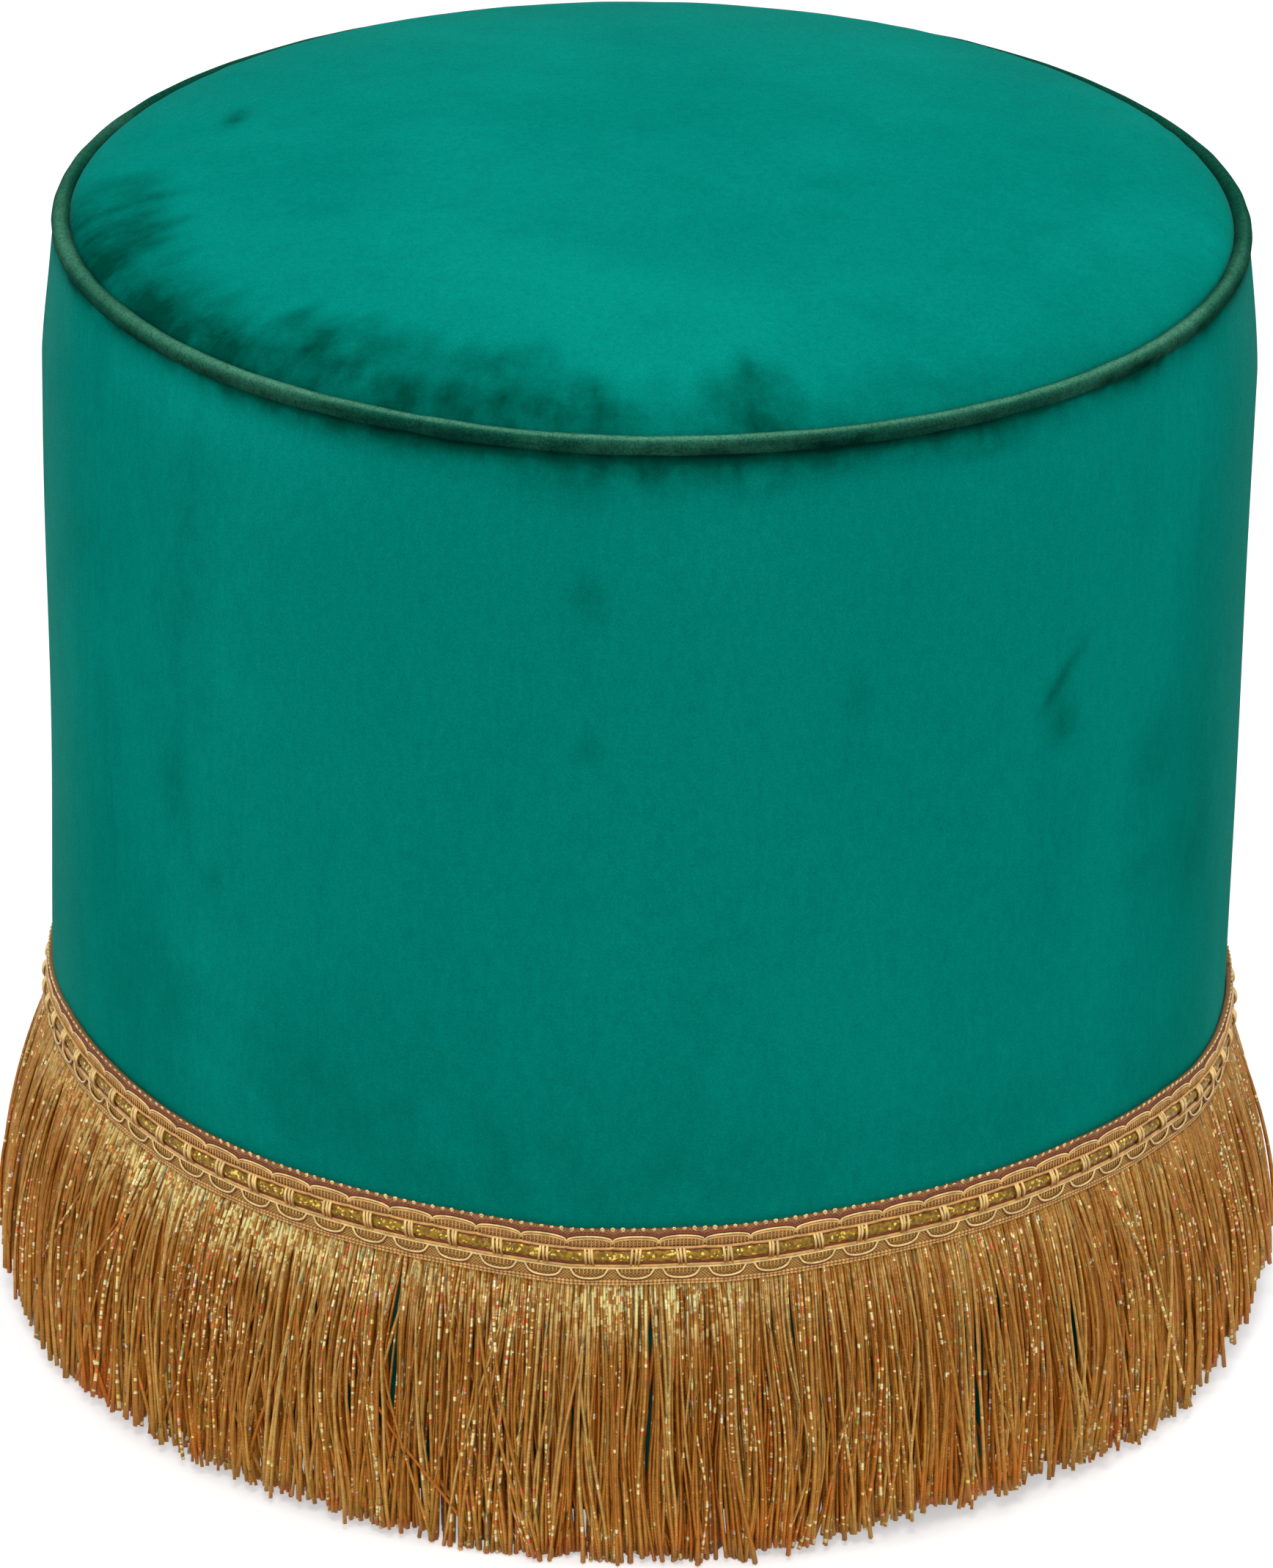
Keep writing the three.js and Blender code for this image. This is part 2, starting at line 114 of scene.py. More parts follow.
class TuffetUpholstery(bpy.types.PropertyGroup):
    """Sizes of the velvet seat, side and piping."""

    seam_inset: length("Seam inset", "Middle of the piping inside the velvet side", 7 * MM)
    piping_diameter: length("Piping diameter", "Thickness of the corded seam", 6.6 * MM)
    bulge_depth: length("Bulge depth", "Height over which the side swells below the seam", 45 * MM)
    ripple: length("Ripple", "Greatest swell or hollow of the stretched velvet", 0.45 * MM)
    pucker: length("Pucker", "Height of the small gathers beside the seam", 0.22 * MM)


class TuffetTrim(bpy.types.PropertyGroup):
    """Sizes and counts of the gimp braid and the fringe."""

    repeats: quantity("Repeats", "Wraps round the gimp", 86)
    picots: quantity("Picots", "Small loops on the gimp's top edge", 387)
    lurex_radius: length("Metallic cord radius", "Radius of the cord in the gimp", 2.35 * MM)
    strands: quantity("Strands", "Strands in one layer of the fringe", 1000)
    layers: quantity("Layers", "Layers of strands", 5, least=1)
    strand_radius: length("Strand radius", "Radius of one strand of the fringe", 0.6 * MM)
    unevenness: length("Unevenness", "How far the cut ends stray in height", 2.2 * MM)


class TuffetColours(bpy.types.PropertyGroup):
    """Colours of the velvet and the trim."""

    velvet: colour("Velvet", "Velvet with its pile brushed towards the viewer", (2, 132, 119))
    # Light velvet also colours painted light: the pool on the front of the seat.
    velvet_light: colour("Light velvet", "Velvet with its pile brushed away", (8, 156, 141))
    # This colour is flattened pile and also painted shade: under and beside the piping, in the
    # crease and evenly over the side.
    velvet_crushed: colour("Crushed velvet", "Velvet where its pile is pressed", (0, 74, 61))
    piping: colour("Piping", "Velvet of the piping", (16, 78, 60))
    # Painted highlight: the lit top of the piping. Its lighter clouds use this colour too.
    piping_light: colour("Light piping", "Velvet of the piping where it faces up", (76, 138, 112))
    # Painted shade: the shaded underside of the piping.
    piping_dark: colour("Dark piping", "Velvet of the piping where it is pressed", (2, 36, 28))
    gold: colour("Gold", "Strands of the fringe", (178, 121, 40))
    # Painted shade and glow: the darker, more orange gold of deep strands stands in for the shade
    # among them and the light coming through the yarn.
    gold_deep: colour("Deep gold", "Strands deep in the fringe", (186, 100, 8))
    cream: colour("Cream", "Cream yarn of the gimp", (240, 212, 142))
    # Partly real dark yarn and partly painted shade: cords in this colour lie where shade falls,
    # under the picots, along both edges of the metallic cord and under the hanging loops.
    mauve: colour("Mauve", "Shadow yarn of the gimp", (128, 58, 30))
    lurex: colour("Metallic", "Metallic cord of the gimp", (146, 108, 6))


# Node tools

def add_node(tree, kind, inputs=None, **settings):
    """A node with its settings, and with its inputs linked where the value is a socket."""
    made = tree.nodes.new(kind)
    for key, value in settings.items():
        setattr(made, key, value)
    for key, value in (inputs or {}).items():
        if isinstance(value, bpy.types.NodeSocket):
            tree.links.new(value, made.inputs[key])
        else:
            made.inputs[key].default_value = value
    return made


def maths(tree, operation, first, second=0.0, clamp=False):
    """The result of one arithmetic operation on two values."""
    made = add_node(
        tree, "ShaderNodeMath", {0: first, 1: second}, operation=operation, use_clamp=clamp
    )
    return made.outputs[0]


def mapped(tree, value, low, high, to_low=0.0, to_high=1.0):
    """value carried smoothly from the range low to high onto the range to_low to to_high."""
    made = add_node(
        tree, "ShaderNodeMapRange",
        {"Value": value, "From Min": low, "From Max": high, "To Min": to_low, "To Max": to_high},
        interpolation_type="SMOOTHSTEP",
    )
    return made.outputs["Result"]


def mixed(tree, factor, first, second, blend="MIX"):
    """Two colours blended by a factor."""
    made = add_node(
        tree, "ShaderNodeMix", {0: factor, 6: first, 7: second}, data_type="RGBA", blend_type=blend
    )
    return made.outputs[2]


def shaded(tree, tint, level):
    """A colour with each channel multiplied by a level."""
    channels = add_node(tree, "ShaderNodeCombineColor", {0: level, 1: level, 2: level})
    return mixed(tree, 1.0, tint, channels.outputs[0], "MULTIPLY")


def noise(tree, vector, scale, detail=2.0, roughness=0.5):
    """Cloudy noise of about 0.3 to 0.7 at a place."""
    made = add_node(
        tree, "ShaderNodeTexNoise",
        {"Vector": vector, "Scale": scale, "Detail": detail, "Roughness": roughness},
    )
    return made.outputs["Fac"]


def object_place(tree):
    """The place on the piece, in metres from its origin."""
    return add_node(tree, "ShaderNodeTexCoord").outputs["Object"]


def attribute(tree, name):
    """A number that the piece's mesh keeps for each of its points."""
    return add_node(tree, "ShaderNodeAttribute", attribute_name=name).outputs["Fac"]


def ribs(tree, name):
    """Even ribs from -1 to 1, one for each whole step of an attribute."""
    return maths(tree, "SINE", maths(tree, "MULTIPLY", attribute(tree, name), TURN))


def stretched(tree, vector, scale):
    """A place multiplied by its own scale along each axis."""
    return add_node(tree, "ShaderNodeMapping", {"Vector": vector, "Scale": scale}).outputs[0]


def set_ramp(ramp, stops):
    """Gives a colour ramp its stops, each a place from 0 to 1 and a display colour."""
    elements = ramp.color_ramp.elements
    while len(elements) < len(stops):
        elements.new(1.0)
    for element, (place, display) in zip(elements, stops):
        element.position = place
        element.color = (*srgb(*display), 1.0)


def new_group(name, inputs, outputs):
    """A shader node group with named sockets. Each entry is (name, kind, default)."""
    group = bpy.data.node_groups.new(name, "ShaderNodeTree")
    for label, kind, default in inputs:
        socket = group.interface.new_socket(label, in_out="INPUT", socket_type=kind)
        socket.default_value = default
    for label, kind in outputs:
        group.interface.new_socket(label, in_out="OUTPUT", socket_type=kind)
    source = group.nodes.new("NodeGroupInput").outputs
    target = group.nodes.new("NodeGroupOutput").inputs
    return group, source, target


def shared(build):
    """The node group that a function of the same name builds, built when it is first asked for."""
    return bpy.data.node_groups.get(build.__name__) or build()


def group_node(tree, build, **inputs):
    """A shared effect placed in a material with its own values."""
    return add_node(tree, "ShaderNodeGroup", inputs, node_tree=shared(build))


# Shared effects

GREY = (0.5, 0.5, 0.5, 1.0)


def velvet_pile():
    """Pile that lies in broad clouds, brush strokes where it is flattened, and fine grain. Its
    Crush input also carries painted shade, which past 1.05 deepens into a painted shadow, and below
    0 painted light. The strokes follow the piece's own nap_place: across it are their widths, along
    it their lengths."""
    group, source, target = new_group(
        "velvet_pile",
        [
            ("Pile", "NodeSocketColor", GREY), ("Light", "NodeSocketColor", GREY),
            ("Crushed", "NodeSocketColor", GREY), ("Crush", "NodeSocketFloat", 0.0),
            ("Cloudiness", "NodeSocketFloat", 0.4), ("Speckle", "NodeSocketFloat", 0.6),
        ],
        [("Colour", "NodeSocketColor"), ("Height", "NodeSocketFloat")],
    )
    place = object_place(group)
    nap = add_node(group, "ShaderNodeAttribute", attribute_name="nap_place").outputs["Vector"]
    # Crush above 0 is flattened pile and painted shade. Below 0 it is lighter pile and painted
    # light.
    crush_and_shade = maths(group, "MAXIMUM", source["Crush"], 0.0)
    brushed = maths(group, "MAXIMUM", maths(group, "MULTIPLY", source["Crush"], -1.0), 0.0)
    hung = stretched(group, place, (1.0, 1.0, 0.4))
    clouds = mapped(group, noise(group, hung, 11.0, 4.0, 0.55), 0.4, 0.68)
    streaks = mapped(group, noise(group, hung, 46.0, 4.0, 0.6), 0.46, 0.74)
    strokes = noise(group, nap, 90.0, 3.0, 0.55)
    blots = noise(group, place, 42.0, 4.0, 0.6)
    grain = noise(group, place, 1500.0, 2.0, 0.7)
    brush = noise(group, hung, 430.0, 3.0, 0.6)
    fine = noise(group, place, 2600.0, 1.0)
    cloudy = maths(group, "MULTIPLY", attribute(group, "cloudy"), source["Cloudiness"])
    # brushed adds lighter pile together with painted light: the painted pool on the seat's front
    # and the painted highlight on the piping's top.
    lightness = maths(group, "ADD", maths(group, "MULTIPLY", clouds, cloudy), brushed)
    dabs = maths(group, "MULTIPLY", maths(group, "MULTIPLY", streaks, cloudy), 0.35)
    swing = maths(
        group, "ADD", maths(group, "MULTIPLY", maths(group, "SUBTRACT", strokes, 0.5), 1.1),
        maths(group, "MULTIPLY", maths(group, "SUBTRACT", blots, 0.5), 1.7),
    )
    gate = mapped(group, crush_and_shade, 0.1, 0.8)
    pressed_and_shaded = maths(group, "ADD", crush_and_shade, maths(group, "MULTIPLY", swing, gate))
    pressed_and_shaded_share = maths(group, "MULTIPLY", pressed_and_shaded, 0.9, clamp=True)
    lit = mixed(group, lightness, source["Pile"], source["Light"])
    dabbed = mixed(group, dabs, lit, source["Crushed"])
    crushed_and_shaded = mixed(group, pressed_and_shaded_share, dabbed, source["Crushed"])
    # Painted shade: past 1.05 the colour darkens towards a quarter of itself, a painted shadow
    # mostly under the piping.
    with_painted_shade = mixed(group, 1.0, crushed_and_shaded, (0.25, 0.25, 0.25, 1.0), "MULTIPLY")
    deep = maths(group, "SUBTRACT", pressed_and_shaded, 1.05, clamp=True)
    crushed_and_shaded = mixed(group, deep, crushed_and_shaded, with_painted_shade)
    spread = maths(
        group, "ADD", maths(group, "SUBTRACT", grain, 0.5),
        maths(group, "MULTIPLY", maths(group, "SUBTRACT", brush, 0.5), 0.4),
    )
    speckle = maths(group, "ADD", maths(group, "MULTIPLY", spread, source["Speckle"]), 1.0)
    group.links.new(shaded(group, crushed_and_shaded, speckle), target["Colour"])
    group.links.new(maths(group, "ADD", grain, fine), target["Height"])
    return group


def glitter():
    """Small cells, a few of which are bright flecks in a random gold, orange, olive or rose: partly
    the foil's own colour and partly painted glints.
    """
    group, source, target = new_group(
        "glitter",
        [
            ("Vector", "NodeSocketVector", (0.0, 0.0, 0.0)), ("Scale", "NodeSocketFloat", 900.0),
            ("Amount", "NodeSocketFloat", 0.1),
        ],
        [("Mask", "NodeSocketFloat"), ("Colour", "NodeSocketColor")],
    )
    cells = add_node(
        group, "ShaderNodeTexVoronoi", {"Vector": source["Vector"], "Scale": source["Scale"]}
    )
    parts = add_node(group, "ShaderNodeSeparateColor", {0: cells.outputs["Color"]}).outputs
    threshold = maths(group, "SUBTRACT", 1.0, source["Amount"])
    mask = maths(group, "GREATER_THAN", parts[0], threshold)
    ramp = add_node(group, "ShaderNodeValToRGB", {0: parts[1]})
    set_ramp(ramp, [
        (0.0, (255, 240, 190)), (0.45, (250, 214, 130)), (0.62, (226, 120, 52)),
        (0.78, (206, 96, 70)), (0.9, (168, 176, 80)), (1.0, (214, 160, 170)),
    ])
    group.links.new(mask, target["Mask"])
    group.links.new(ramp.outputs[0], target["Colour"])
    return group


def uneven_yarn():
    """A colour whose lightness wanders from blot to blot between two levels."""
    group, source, target = new_group(
        "uneven_yarn",
        [
            ("Colour", "NodeSocketColor", GREY), ("Vector", "NodeSocketVector", (0.0, 0.0, 0.0)),
            ("Scale", "NodeSocketFloat", 1.0), ("Low", "NodeSocketFloat", 0.8),
            ("High", "NodeSocketFloat", 1.15),
        ],
        [("Colour", "NodeSocketColor")],
    )
    blots = noise(group, source["Vector"], source["Scale"], 2.0)
    level = mapped(group, blots, 0.3, 0.7, source["Low"], source["High"])
    group.links.new(shaded(group, source["Colour"], level), target["Colour"])
    return group


def wood_grain():
    """Streaks of a light and a dark wood. A small scale along an axis makes them long that way."""
    group, source, target = new_group(
        "wood_grain",
        [
            ("Light", "NodeSocketColor", GREY), ("Dark", "NodeSocketColor", GREY),
            ("Scale", "NodeSocketVector", (1.0, 1.0, 1.0)),
        ],
        [("Colour", "NodeSocketColor"), ("Height", "NodeSocketFloat")],
    )
    grain = noise(group, stretched(group, object_place(group), source["Scale"]), 1.0, 5.0, 0.6)
    streaks = mixed(group, mapped(group, grain, 0.35, 0.7), source["Light"], source["Dark"])
    group.links.new(streaks, target["Colour"])
    group.links.new(grain, target["Height"])
    return group


def fine_speckle():
    """Fine darker specks in a plain colour."""
    group, source, target = new_group(
        "fine_speckle",
        [("Colour", "NodeSocketColor", GREY), ("Scale", "NodeSocketFloat", 900.0)],
        [("Colour", "NodeSocketColor"), ("Height", "NodeSocketFloat")],
    )
    specks = noise(group, object_place(group), source["Scale"], 3.0, 0.6)
    plain = source["Colour"]
    dark = mixed(group, 1.0, plain, (0.72, 0.72, 0.72, 1.0), "MULTIPLY")
    speckled = mixed(group, mapped(group, specks, 0.35, 0.65), dark, plain)
    group.links.new(speckled, target["Colour"])
    group.links.new(specks, target["Height"])
    return group


# Materials

def new_material(name):
    """A material with a bare Principled shader. Returns the material, its tree and the shader."""
    material = bpy.data.materials.new(name)
    material.use_nodes = True
    tree = material.node_tree
    return material, tree, tree.nodes["Principled BSDF"]


def set_shader(shader, **values):
    """Sets the shader's sockets by name, with _ for each space."""
    for key, value in values.items():
        shader.inputs[key.replace("_", " ")].default_value = value


def bumped(tree, shader, height, depth, strength=1.0):
    """Relief of a depth in metres from a height."""
    bump = add_node(
        tree, "ShaderNodeBump", {"Height": height, "Distance": depth, "Strength": strength}
    )
    tree.links.new(bump.outputs[0], shader.inputs["Normal"])


def opaque(tint):
    return (*tint, 1.0)


def velvet_material(name, pile, light, crushed_and_shaded, cloudiness, speckle, sheen_tint, sheen):
    """Velvet: its colour comes from the lie of the pile and from the painted shade and painted
    light in the piece's crush_and_shade attribute, and its edges are lit by a faint sheen.
    """
    material, tree, shader = new_material(name)
    cloth = group_node(
        tree, velvet_pile, Pile=opaque(pile), Light=opaque(light), Crushed=opaque(crushed_and_shaded),
        Crush=attribute(tree, "crush_and_shade"), Cloudiness=cloudiness, Speckle=speckle,
    )
    tree.links.new(cloth.outputs["Colour"], shader.inputs["Base Color"])
    set_shader(
        shader, Roughness=0.95, Specular_IOR_Level=0.0, Sheen_Weight=sheen, Sheen_Roughness=0.05,
        Sheen_Tint=opaque(sheen_tint),
    )
    bumped(tree, shader, cloth.outputs["Height"], 0.35 * MM, 0.5)
    return material


def strand_place(tree, steps_along, steps_across):
    """A point for each short stretch of each strand, from the strand's own attributes."""
    return add_node(
        tree, "ShaderNodeCombineXYZ",
        {
            0: maths(tree, "MULTIPLY", attribute(tree, "along"), steps_along),
            1: maths(tree, "MULTIPLY", attribute(tree, "tone"), steps_across),
        },
    ).outputs[0]


def fringe_material(name, gold, deep_painted_shade_gold):
    """Gold yarn: each strand has its own tone and is painted lighter towards its cut end; deep
    strands are painted browner, as painted shade and the glow of light through the yarn; a painted
    highlight lies on the bends under the gimp; and flecks, partly foil and partly painted glints,
    gather in clusters and along whole strands."""
    material, tree, shader = new_material(name)
    tone = attribute(tree, "tone")
    along = attribute(tree, "along")
    place = object_place(tree)
    pale = mixed(tree, mapped(tree, tone, 0.55, 1.0), opaque(gold), opaque(srgb(200, 158, 84)))
    tinted = mixed(tree, mapped(tree, tone, 0.4, 0.0, 0.0, 0.8), pale, opaque(srgb(162, 98, 22)))
    stretch = strand_place(tree, 34.0, 997.0)
    uneven = group_node(
        tree, uneven_yarn, Colour=tinted, Vector=stretch, Scale=1.0, Low=0.8, High=1.15
    )
    # Painted light: each strand is made lighter towards its cut end, where it is less shaded.
    yarn = shaded(tree, uneven.outputs["Colour"], mapped(tree, along, 0.3, 0.9, 0.97, 1.2))
    cut = maths(tree, "MULTIPLY", mapped(tree, along, 0.7, 1.0), 0.6)
    warm = mapped(tree, noise(tree, place, 45.0, 2.0), 0.45, 0.62)
    end_tint = mixed(tree, warm, opaque(srgb(190, 142, 58)), opaque(srgb(208, 110, 18)))
    ended = mixed(tree, cut, yarn, end_tint)
    # Painted shade and glow: deeper layers turn towards the deep gold.
    with_painted_shade = mixed(tree, attribute(tree, "depth"), ended, opaque(deep_painted_shade_gold))

    hung = stretched(tree, place, (1.0, 1.0, 0.6))
    cluster = mapped(tree, noise(tree, hung, 24.0, 3.0, 0.6), 0.5, 0.66)
    # Painted highlight: cream dashes on the strands' bends just under the gimp, where the lamps
    # catch them.
    bend = maths(
        tree, "MULTIPLY", mapped(tree, along, 0.0, 0.02), mapped(tree, along, 0.26, 0.06)
    )
    dash = mapped(tree, noise(tree, strand_place(tree, 15.0, 733.0), 1.0, 3.0, 0.7), 0.47, 0.54)
    painted_highlight = maths(tree, "MULTIPLY", maths(tree, "MULTIPLY", bend, dash), attribute(tree, "painted_highlight"))
    with_painted_highlight = mixed(tree, painted_highlight, with_painted_shade, opaque(srgb(255, 230, 156)))

    # Painted glints: flecks gather in clusters and crowd along the foil strands.
    foil = maths(tree, "GREATER_THAN", attribute(tree, "foil"), 0.5)
    spots = maths(tree, "ADD", maths(tree, "MULTIPLY", cluster, 0.2), 0.025)
    amount = maths(tree, "ADD", maths(tree, "MULTIPLY", foil, 0.4), spots)
    flecks = group_node(
        tree, glitter, Vector=strand_place(tree, 75.0, 1511.0), Scale=1.0, Amount=amount
    ).outputs
    mask = flecks["Mask"]
    tree.links.new(mixed(tree, mask, with_painted_highlight, flecks["Colour"]), shader.inputs["Base Color"])
    tree.links.new(mapped(tree, mask, 0.0, 1.0, 0.05, 0.3), shader.inputs["Metallic"])
    tree.links.new(mapped(tree, mask, 0.0, 1.0, 0.42, 0.2), shader.inputs["Roughness"])
    set_shader(
        shader, Specular_IOR_Level=0.24, Subsurface_Weight=0.8, Subsurface_Radius=(1.0, 0.75, 0.4),
        Subsurface_Scale=1 * MM,
    )
    twist = maths(tree, "SINE", maths(tree, "MULTIPLY", along, 520.0))
    bumped(tree, shader, twist, 0.12 * MM, 0.4)
    return material


def yarn_material(name, base, roughness=0.5, metallic=0.0, foot=None, ribbed=False):
    """Twisted yarn: fine ridges and a slightly uneven colour. With a foot colour, each thread
    changes towards it along its length. Ribbed yarn carries upright stitches."""
    material, tree, shader = new_material(name)
    place = object_place(tree)
    fibres = noise(tree, place, 1500.0, 2.0, 0.6)
    tint = opaque(base)
    if foot:
        tint = mixed(tree, mapped(tree, attribute(tree, "along"), 0.25, 0.8), tint, opaque(foot))
    uneven = group_node(
        tree, uneven_yarn, Colour=tint, Vector=place, Scale=330.0, Low=0.78, High=1.16
    )
    shown = uneven.outputs["Colour"]
    if ribbed:
        shown = shaded(tree, shown, mapped(tree, ribs(tree, "around"), -0.9, 0.6, 0.5, 1.15))
    tree.links.new(shown, shader.inputs["Base Color"])
    set_shader(shader, Roughness=roughness, Metallic=metallic)
    bumped(tree, shader, fibres, 0.2 * MM, 0.7)
    return material


def tape_material(name, first, second, edge, gold, gold_dark):
    """Woven tape: fine upright ribs crossed by level threads. Its top edge is darker, and the
    fringe's gold shows through its lower part."""
    material, tree, shader = new_material(name)
    grid = maths(tree, "MULTIPLY", ribs(tree, "around"), ribs(tree, "up"))
    fibres = noise(tree, object_place(tree), 900.0, 3.0, 0.65)
    relief = maths(tree, "ADD", grid, maths(tree, "MULTIPLY", fibres, 1.4))
    blend = mapped(tree, relief, -0.2, 1.5)
    up = attribute(tree, "up")
    woven = mixed(tree, blend, opaque(first), opaque(second))
    edged = mixed(tree, mapped(tree, up, 15.6, 16.8, 0.0, 0.6), woven, opaque(edge))
    shown = mixed(tree, blend, opaque(gold_dark), opaque(gold))
    through = mapped(tree, up, 7.2, 6.4, 0.0, 0.8)
    tree.links.new(mixed(tree, through, edged, shown), shader.inputs["Base Color"])
    set_shader(shader, Roughness=0.75)
    bumped(tree, shader, maths(tree, "ADD", grid, fibres), 0.25 * MM, 0.8)
    return material


def lurex_material(name, base):
    """Metallic cord: olive gold with bright flecks, partly metal and partly painted glints."""
    material, tree, shader = new_material(name)
    place = object_place(tree)
    flecks = group_node(tree, glitter, Vector=place, Scale=1300.0, Amount=0.11).outputs
    uneven = group_node(
        tree, uneven_yarn, Colour=opaque(base), Vector=place, Scale=700.0, Low=0.45, High=1.3
    )
    gilt = mixed(tree, 0.7, flecks["Colour"], opaque(srgb(226, 196, 50)))
    mask = flecks["Mask"]
    shown = mixed(tree, mask, uneven.outputs["Colour"], gilt)
    tree.links.new(shown, shader.inputs["Base Color"])
    tree.links.new(mapped(tree, mask, 0.0, 1.0, 0.35, 0.7), shader.inputs["Metallic"])
    tree.links.new(mapped(tree, mask, 0.0, 1.0, 0.5, 0.25), shader.inputs["Roughness"])
    bumped(tree, shader, noise(tree, place, 1100.0, 2.0), 0.4 * MM, 0.8)
    return material


def wood_material(name, light, dark, scale):
    """Wood with grain that runs along the piece, or plies and fibres on a board."""
    material, tree, shader = new_material(name)
    grain = group_node(
        tree, wood_grain, Light=opaque(srgb(*light)), Dark=opaque(srgb(*dark)), Scale=scale
    ).outputs
    tree.links.new(grain["Colour"], shader.inputs["Base Color"])
    set_shader(shader, Roughness=0.7)
    bumped(tree, shader, grain["Height"], 0.3 * MM, 0.5)
    return material


def fine_material(name, display, roughness, metallic, scale, depth):
    """A plain finish with a fine speckle in its colour and its surface."""
    material, tree, shader = new_material(name)
    specks = group_node(tree, fine_speckle, Colour=opaque(srgb(*display)), Scale=scale).outputs
    tree.links.new(specks["Colour"], shader.inputs["Base Color"])
    set_shader(shader, Roughness=roughness, Metallic=metallic)
    bumped(tree, shader, specks["Height"], depth, 0.5)
    return material


# Mesh tools

def bare_mesh(name, points, face_sets):
    """A mesh from points (n, 3) and arrays of faces, each (faces, corners)."""
    corners = np.concatenate([faces.ravel() for faces in face_sets]).astype(np.int32)
    counts = np.concatenate([np.full(len(faces), faces.shape[1]) for faces in face_sets])
    starts = (np.cumsum(counts) - counts).astype(np.int32)
    mesh = bpy.data.meshes.new(name)
    mesh.vertices.add(len(points))
    mesh.vertices.foreach_set("co", points.astype(np.float32).ravel())
    mesh.loops.add(len(corners))
    mesh.loops.foreach_set("vertex_index", corners)
    mesh.polygons.add(len(counts))
    mesh.polygons.foreach_set("loop_start", starts)
    mesh.update(calc_edges=True)
    mesh.validate()
    mesh.shade_smooth()
    return mesh


def mesh_piece(name, points, face_sets, material, values=None):
    """A mesh object at the origin. values are numbers for each point, kept as attributes that the
    material reads."""
    mesh = bare_mesh(name, points, face_sets)
    for key, value in (values or {}).items():
        if np.ndim(value) == 2:
            layer = mesh.attributes.new(key, "FLOAT_VECTOR", "POINT")
            layer.data.foreach_set("vector", value.astype(np.float32).ravel())
        else:
            layer = mesh.attributes.new(key, "FLOAT", "POINT")
            layer.data.foreach_set("value", np.broadcast_to(value, len(points)).astype(np.float32))
    mesh.materials.append(material)
    piece = bpy.data.objects.new(name, mesh)
    bpy.context.scene.collection.objects.link(piece)
    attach(piece, BODY)
    return piece


def half_turn_either_way(angle):
    """The same angle, brought between minus and plus half a turn."""
    return (angle + math.pi) % TURN - math.pi


def at(angle, radius, height):
    """Points at an angle round +Z, a radius and a height."""
    angle, radius, height = np.broadcast_arrays(angle, radius, height)
    return np.stack([radius * np.cos(angle), radius * np.sin(angle), height], axis=-1)


def turned_faces(rows, columns):
    """Faces of a surface turned about +Z, whose rows run along a closed profile."""
    row = np.arange(rows)[:, None]
    column = np.arange(columns)[None, :]
    next_row = (row + 1) % rows
    next_column = (column + 1) % columns
    quads = np.stack([
        row * columns + column, row * columns + next_column,
        next_row * columns + next_column, next_row * columns + column,
    ], axis=-1)
    return quads.reshape(-1, 4)


def capped_faces(rows, columns):
    """Faces of a turned surface whose first and last rows close on a pole: the last two points."""
    quads = turned_faces(rows, columns).reshape(rows, columns, 4)[:-1].reshape(-1, 4)
    column = np.arange(columns)
    after = (column + 1) % columns
    first_pole = rows * columns
    last = (rows - 1) * columns
    start = np.stack([np.full(columns, first_pole), after, column], axis=-1)
    end = np.stack([np.full(columns, first_pole + 1), last + column, last + after], axis=-1)
    return quads, start, end


def tubes(name, paths, radii, sides, material, values=None, closed=False, flat=1.0):
    """Round tubes along paths (tube, step, 3). At each step a ring stands at the path's point plus
    radius times (cos a times outward plus flat times sin a times sideways), a going once round.
    Outward is level, away from the drum's axis, and square to the path. Radii are (tube, step) or
    (tube, step, side)."""
    count, steps, _ = paths.shape
    if closed:
        run = np.roll(paths, -1, axis=1) - np.roll(paths, 1, axis=1)
    else:
        run = np.gradient(paths, axis=1)
    run /= np.linalg.norm(run, axis=-1, keepdims=True)
    outward = paths * (1.0, 1.0, 0.0)
    outward -= (outward * run).sum(-1, keepdims=True) * run
    outward /= np.linalg.norm(outward, axis=-1, keepdims=True)
    sideways = np.cross(run, outward) * flat
    turn = np.arange(sides) / sides * TURN
    ring = (
        outward[:, :, None] * np.cos(turn)[:, None] + sideways[:, :, None] * np.sin(turn)[:, None]
    )
    if np.ndim(radii) == 2:
        radii = radii[..., None]
    points = (paths[:, :, None] + ring * radii[..., None]).reshape(-1, 3)

    tube = np.arange(count)[:, None, None] * steps
    step = np.arange(steps if closed else steps - 1)[None, :, None]
    side = np.arange(sides)[None, None, :]
    here = (tube + step) * sides
    there = (tube + (step + 1) % steps) * sides
    after = (side + 1) % sides
    quads = np.stack([here + side, here + after, there + after, there + side], axis=-1)
    face_sets = [quads.reshape(-1, 4)]
    if not closed:
        order = np.arange(sides)
        first = (np.arange(count) * steps * sides)[:, None]
        last = first + (steps - 1) * sides
        face_sets += [first + order[::-1], last + order]
    spread = {
        key: np.repeat(np.broadcast_to(value, (count, steps)).ravel(), sides)
        for key, value in (values or {}).items()
    }
    return mesh_piece(name, points, face_sets, material, spread)


def soft_waves(rng, first, second, first_cycles, second_cycles, count=14):
    """A sum of slow waves over two parameters that run from 0 to 1, whole cycles in the first,
    divided so that it stays between about -1 and 1."""
    total = np.zeros(np.broadcast_shapes(np.shape(first), np.shape(second)))
    for _ in range(count):
        across = rng.integers(1, first_cycles + 1)
        along = rng.uniform(-second_cycles, second_cycles)
        total = total + np.cos(TURN * (across * first + along * second + rng.random()))
    return total / math.sqrt(2 * count)


